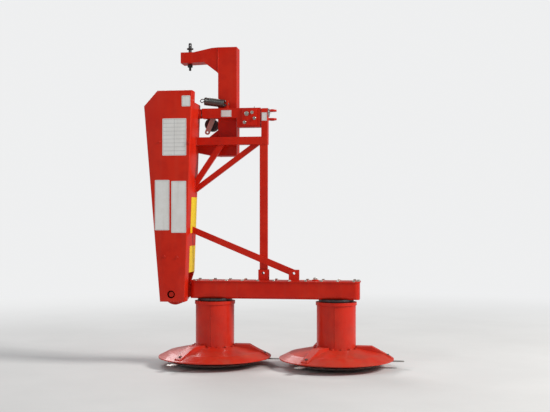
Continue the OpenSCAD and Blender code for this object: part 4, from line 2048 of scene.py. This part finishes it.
@dataclass
class BreakawaySpring:
    """Coil spring with its two hooks, which rides on the hitch frame."""

    wire_r: float = 3.2
    coil_r: float = 27
    turns: int = 21
    length: float = 140
    tilt: float = 8
    end: Spot = (52, 1706)
    lead: float = 2
    lead_share: float = 0.6
    neck: float = 4
    hook_r: float = 11
    hook_steps: int = 12

    def build(self) -> None:
        """Winds the spring and hangs it from its lug to the latch."""
        tilt = radians(self.tilt)
        along, up = Vector((cos(tilt), 0, -sin(tilt))), Vector((sin(tilt), 0, cos(tilt)))
        end = place(self.end[0], 0, self.end[1])
        end.y = Solid.of("spring_lug").centre.y
        start = end - along * self.length * MM
        coil = self.coil()
        coil.matrix_world = facing(end - along * (self.length - self.wire_r) * MM, along)
        apply_place(coil)
        spring = join([coil, self.hook(end, along, up), self.hook(start, -along, up)])
        finish_piece(spring, "coil_spring", SPRING, Body.HITCH)
        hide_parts("latch_spring")

    def coil(self) -> Piece:
        """Winds the coil at the origin, upwards.

        Returns:
            The coil with closed ends.
        """
        bpy.ops.object.select_all(action="DESELECT")
        bpy.ops.mesh.primitive_circle_add(
            vertices=8, radius=self.wire_r * MM, location=((self.coil_r - self.wire_r) * MM, 0, 0),
            rotation=(pi / 2, 0, 0),
        )
        coil = bpy.context.object
        apply_place(coil)
        pitch = (self.length - 2 * self.wire_r) / self.turns
        apply_modifier(coil, "SCREW", axis="Z", angle=2 * pi, screw_offset=pitch * MM,
                       iterations=self.turns, steps=24, render_steps=24,
                       use_normal_calculate=True)
        with editing(coil):
            bpy.ops.mesh.select_all(action="SELECT")
            bpy.ops.mesh.fill_holes(sides=10)
            bpy.ops.mesh.normals_make_consistent(inside=False)
        return coil

    def hook(self, start: Vector, along: Vector, up: Vector) -> Piece:
        """Bends the hook at one end of the spring.

        Args:
            start: Middle of the coil's end.
            along: Direction out of the coil.
            up: Direction across it, in the hook's plane.

        Returns:
            The hook.
        """
        rim, r = self.coil_r - self.wire_r, self.hook_r
        flat = [(-self.lead, rim), (self.lead, self.lead_share * rim), (self.neck, r)]
        for step in range(self.hook_steps + 1):
            angle = radians(90 - 270 * step / self.hook_steps)
            flat.append((self.neck + r + r * cos(angle), r * sin(angle)))
        return add_wire([start + along * out * MM + up * rise * MM for out, rise in flat],
                        self.wire_r)


@dataclass
class HitchFrame:
    """Three-point frame that swings on the king pin, with its pins, spring and link."""

    seam_out: float = 1
    arm_seam: float = 8
    arm_inset: float = 2
    box_seam: float = 7
    box_inset: float = 3
    box_h: float = 64
    mast_seam: float = 5
    mast_t: float = 11
    mast_left: float = 30
    mast_front: float = 10
    bush: Profile = ((9.75, -0.5), (17, -0.5), (17, 2.4), (16, 3.4), (10.6, 3.4), (9.75, 2.6))
    bush_inset: Spot = (30, 20)
    latch_x: Range = (174, 272)
    latch_z: Range = (1556, 1667)
    latch_t: float = 6
    latch_sunk: float = 0.5
    latch_corner: float = 6
    latch_edge: float = 1
    large_bolt: HexBolt = HexBolt(24, 10, 3)
    large_spot: Spot = (204, 1635)
    large_turn: float = 0.2
    small_bolt: HexBolt = HexBolt(17, 6.4, 2)
    small_spots: tuple[Spot, ...] = ((240, 1642), (256, 1604), (190, 1578))
    small_turn: float = 0.01
    link_spot: Spot = (-30, 1621)
    nipples: tuple[float, ...] = (70, 250)
    plate: Plate = Plate("box_plate", left=33, foot=1616, width=69, height=44, thick=0.6,
                         corner=3, border=3)

    def __post_init__(self) -> None:
        """Reads the boxes of the swing box, the cross beam and the mast plates."""
        self.box = Solid.of("swing_box")
        self.beam = Solid.of("cross_beam")
        self.mast = Solid.of("mast_plates")

    def build(self) -> None:
        """Builds and dresses the hitch frame."""
        dress(RED, "swing_box", "cross_beam", "hitch_arm_left", "hitch_arm_right", "mast_plates",
              "spring_lug")
        dress(ZINC, "latch_link")
        dress(DARK, "hanger_cup")
        HitchPin("left", 1).build()
        HitchPin("right", -1).build()
        BreakawaySpring().build()
        self.build_seams()
        self.build_bushes()
        self.build_latch()
        self.build_link_bolts()
        self.build_nipples()
        add_plate(self.plate, self.box.front, Body.HITCH)

    def build_seams(self) -> None:
        """Welds the hitch arms, the swing box and the mast plates to the cross beam."""
        beam, mast = self.beam, self.mast
        side, front = beam.left - self.seam_out, beam.front - self.seam_out
        arms = [((side, y, arm.foot + self.arm_inset), (side, y, arm.top - self.arm_inset))
                for arm in (Solid.of("hitch_arm_left"), Solid.of("hitch_arm_right"))
                for y in (beam.front, beam.back)]
        boxes = [((beam.left + self.box_inset, front, z), (beam.right, front, z))
                 for z in (self.box.top, self.box.top - self.box_h)]
        plates = []
        for z in (mast.foot, mast.foot + self.mast_t, mast.top - self.mast_t, mast.top):
            corner = (beam.right, beam.back, z)
            plates.append(((beam.right, beam.front + self.mast_front, z), corner))
            plates.append(((self.mast_left, beam.back, z), corner))
        seams = add_seams(arms, self.arm_seam) + add_seams(boxes, self.box_seam)
        seams += add_seams(plates, self.mast_seam)
        finish_seams(seams, "hitch_seams", Body.HITCH)

    def build_bushes(self) -> None:
        """Sets a bush round each hole of the mast plates."""
        x, y = self.mast.right - self.bush_inset[0], self.beam.back - self.bush_inset[1]
        bushes = [add_turned(self.bush, facing(place(x, y, z), ALONG_Z * up), steps=40)
                  for z, up in ((self.mast.foot, -1), (self.mast.top, 1))]
        finish_piece(join(bushes), "top_link_bushes", RED, Body.HITCH)

    def build_latch(self) -> None:
        """Sets the latch plate on the swing box, with its large bolt and three small ones."""
        (left, right), (foot, top) = self.latch_x, self.latch_z
        face, back = self.box.front - self.latch_t, self.box.front + self.latch_sunk
        plate = add_block(place(left, face, foot), place(right, back, top))
        round_corners(plate, ALONG_Y, self.latch_corner)
        soften(plate, self.latch_edge)
        finish_piece(plate, "latch_plate", RED, Body.HITCH)
        x, z = self.large_spot
        large = self.large_bolt.row([facing(place(x, face, z), -ALONG_Y, self.large_turn)])
        small = self.small_bolt.row([facing(place(x, face, z), -ALONG_Y, self.small_turn * z)
                                     for x, z in self.small_spots])
        finish_piece(join([large, small]), "latch_bolts", ZINC, Body.HITCH)

    def build_link_bolts(self) -> None:
        """Bolts the latch link, from the front and from the back."""
        link = Solid.of("latch_link")
        x, z = self.link_spot
        bolts = self.small_bolt.row([facing(place(x, link.front, z), -ALONG_Y),
                                     facing(place(x, link.back, z), ALONG_Y)])
        finish_piece(bolts, "link_bolts", ZINC, Body.HITCH)

    def build_nipples(self) -> None:
        """Sets the grease nipples along the top of the swing box."""
        spots = [place(x, self.box.centre.y / MM, self.box.top) for x in self.nipples]
        nipples = join([GreaseNipple().build(facing(spot, ALONG_Z)) for spot in spots])
        finish_piece(nipples, "swing_nipples", ZINC, Body.HITCH)


def main() -> None:
    """Builds every sub-assembly in order."""
    logging.basicConfig(level=logging.INFO, format="%(name)s: %(message)s")
    Studio().build()
    cover = BeltCover()
    assemblies = (
        cover,
        ArmGirder(cover),
        DriveInput(),
        Fork(cover),
        CuttingBeam(),
        AngleDrive(),
        CuttingDrum("inner", Body.DRUM_INNER),
        CuttingDrum("outer", Body.DRUM_OUTER),
        HitchFrame(),
    )
    for assembly in assemblies:
        LOG.info("building %s", type(assembly).__name__)
        assembly.build()


if __name__ == "__main__":
    main()
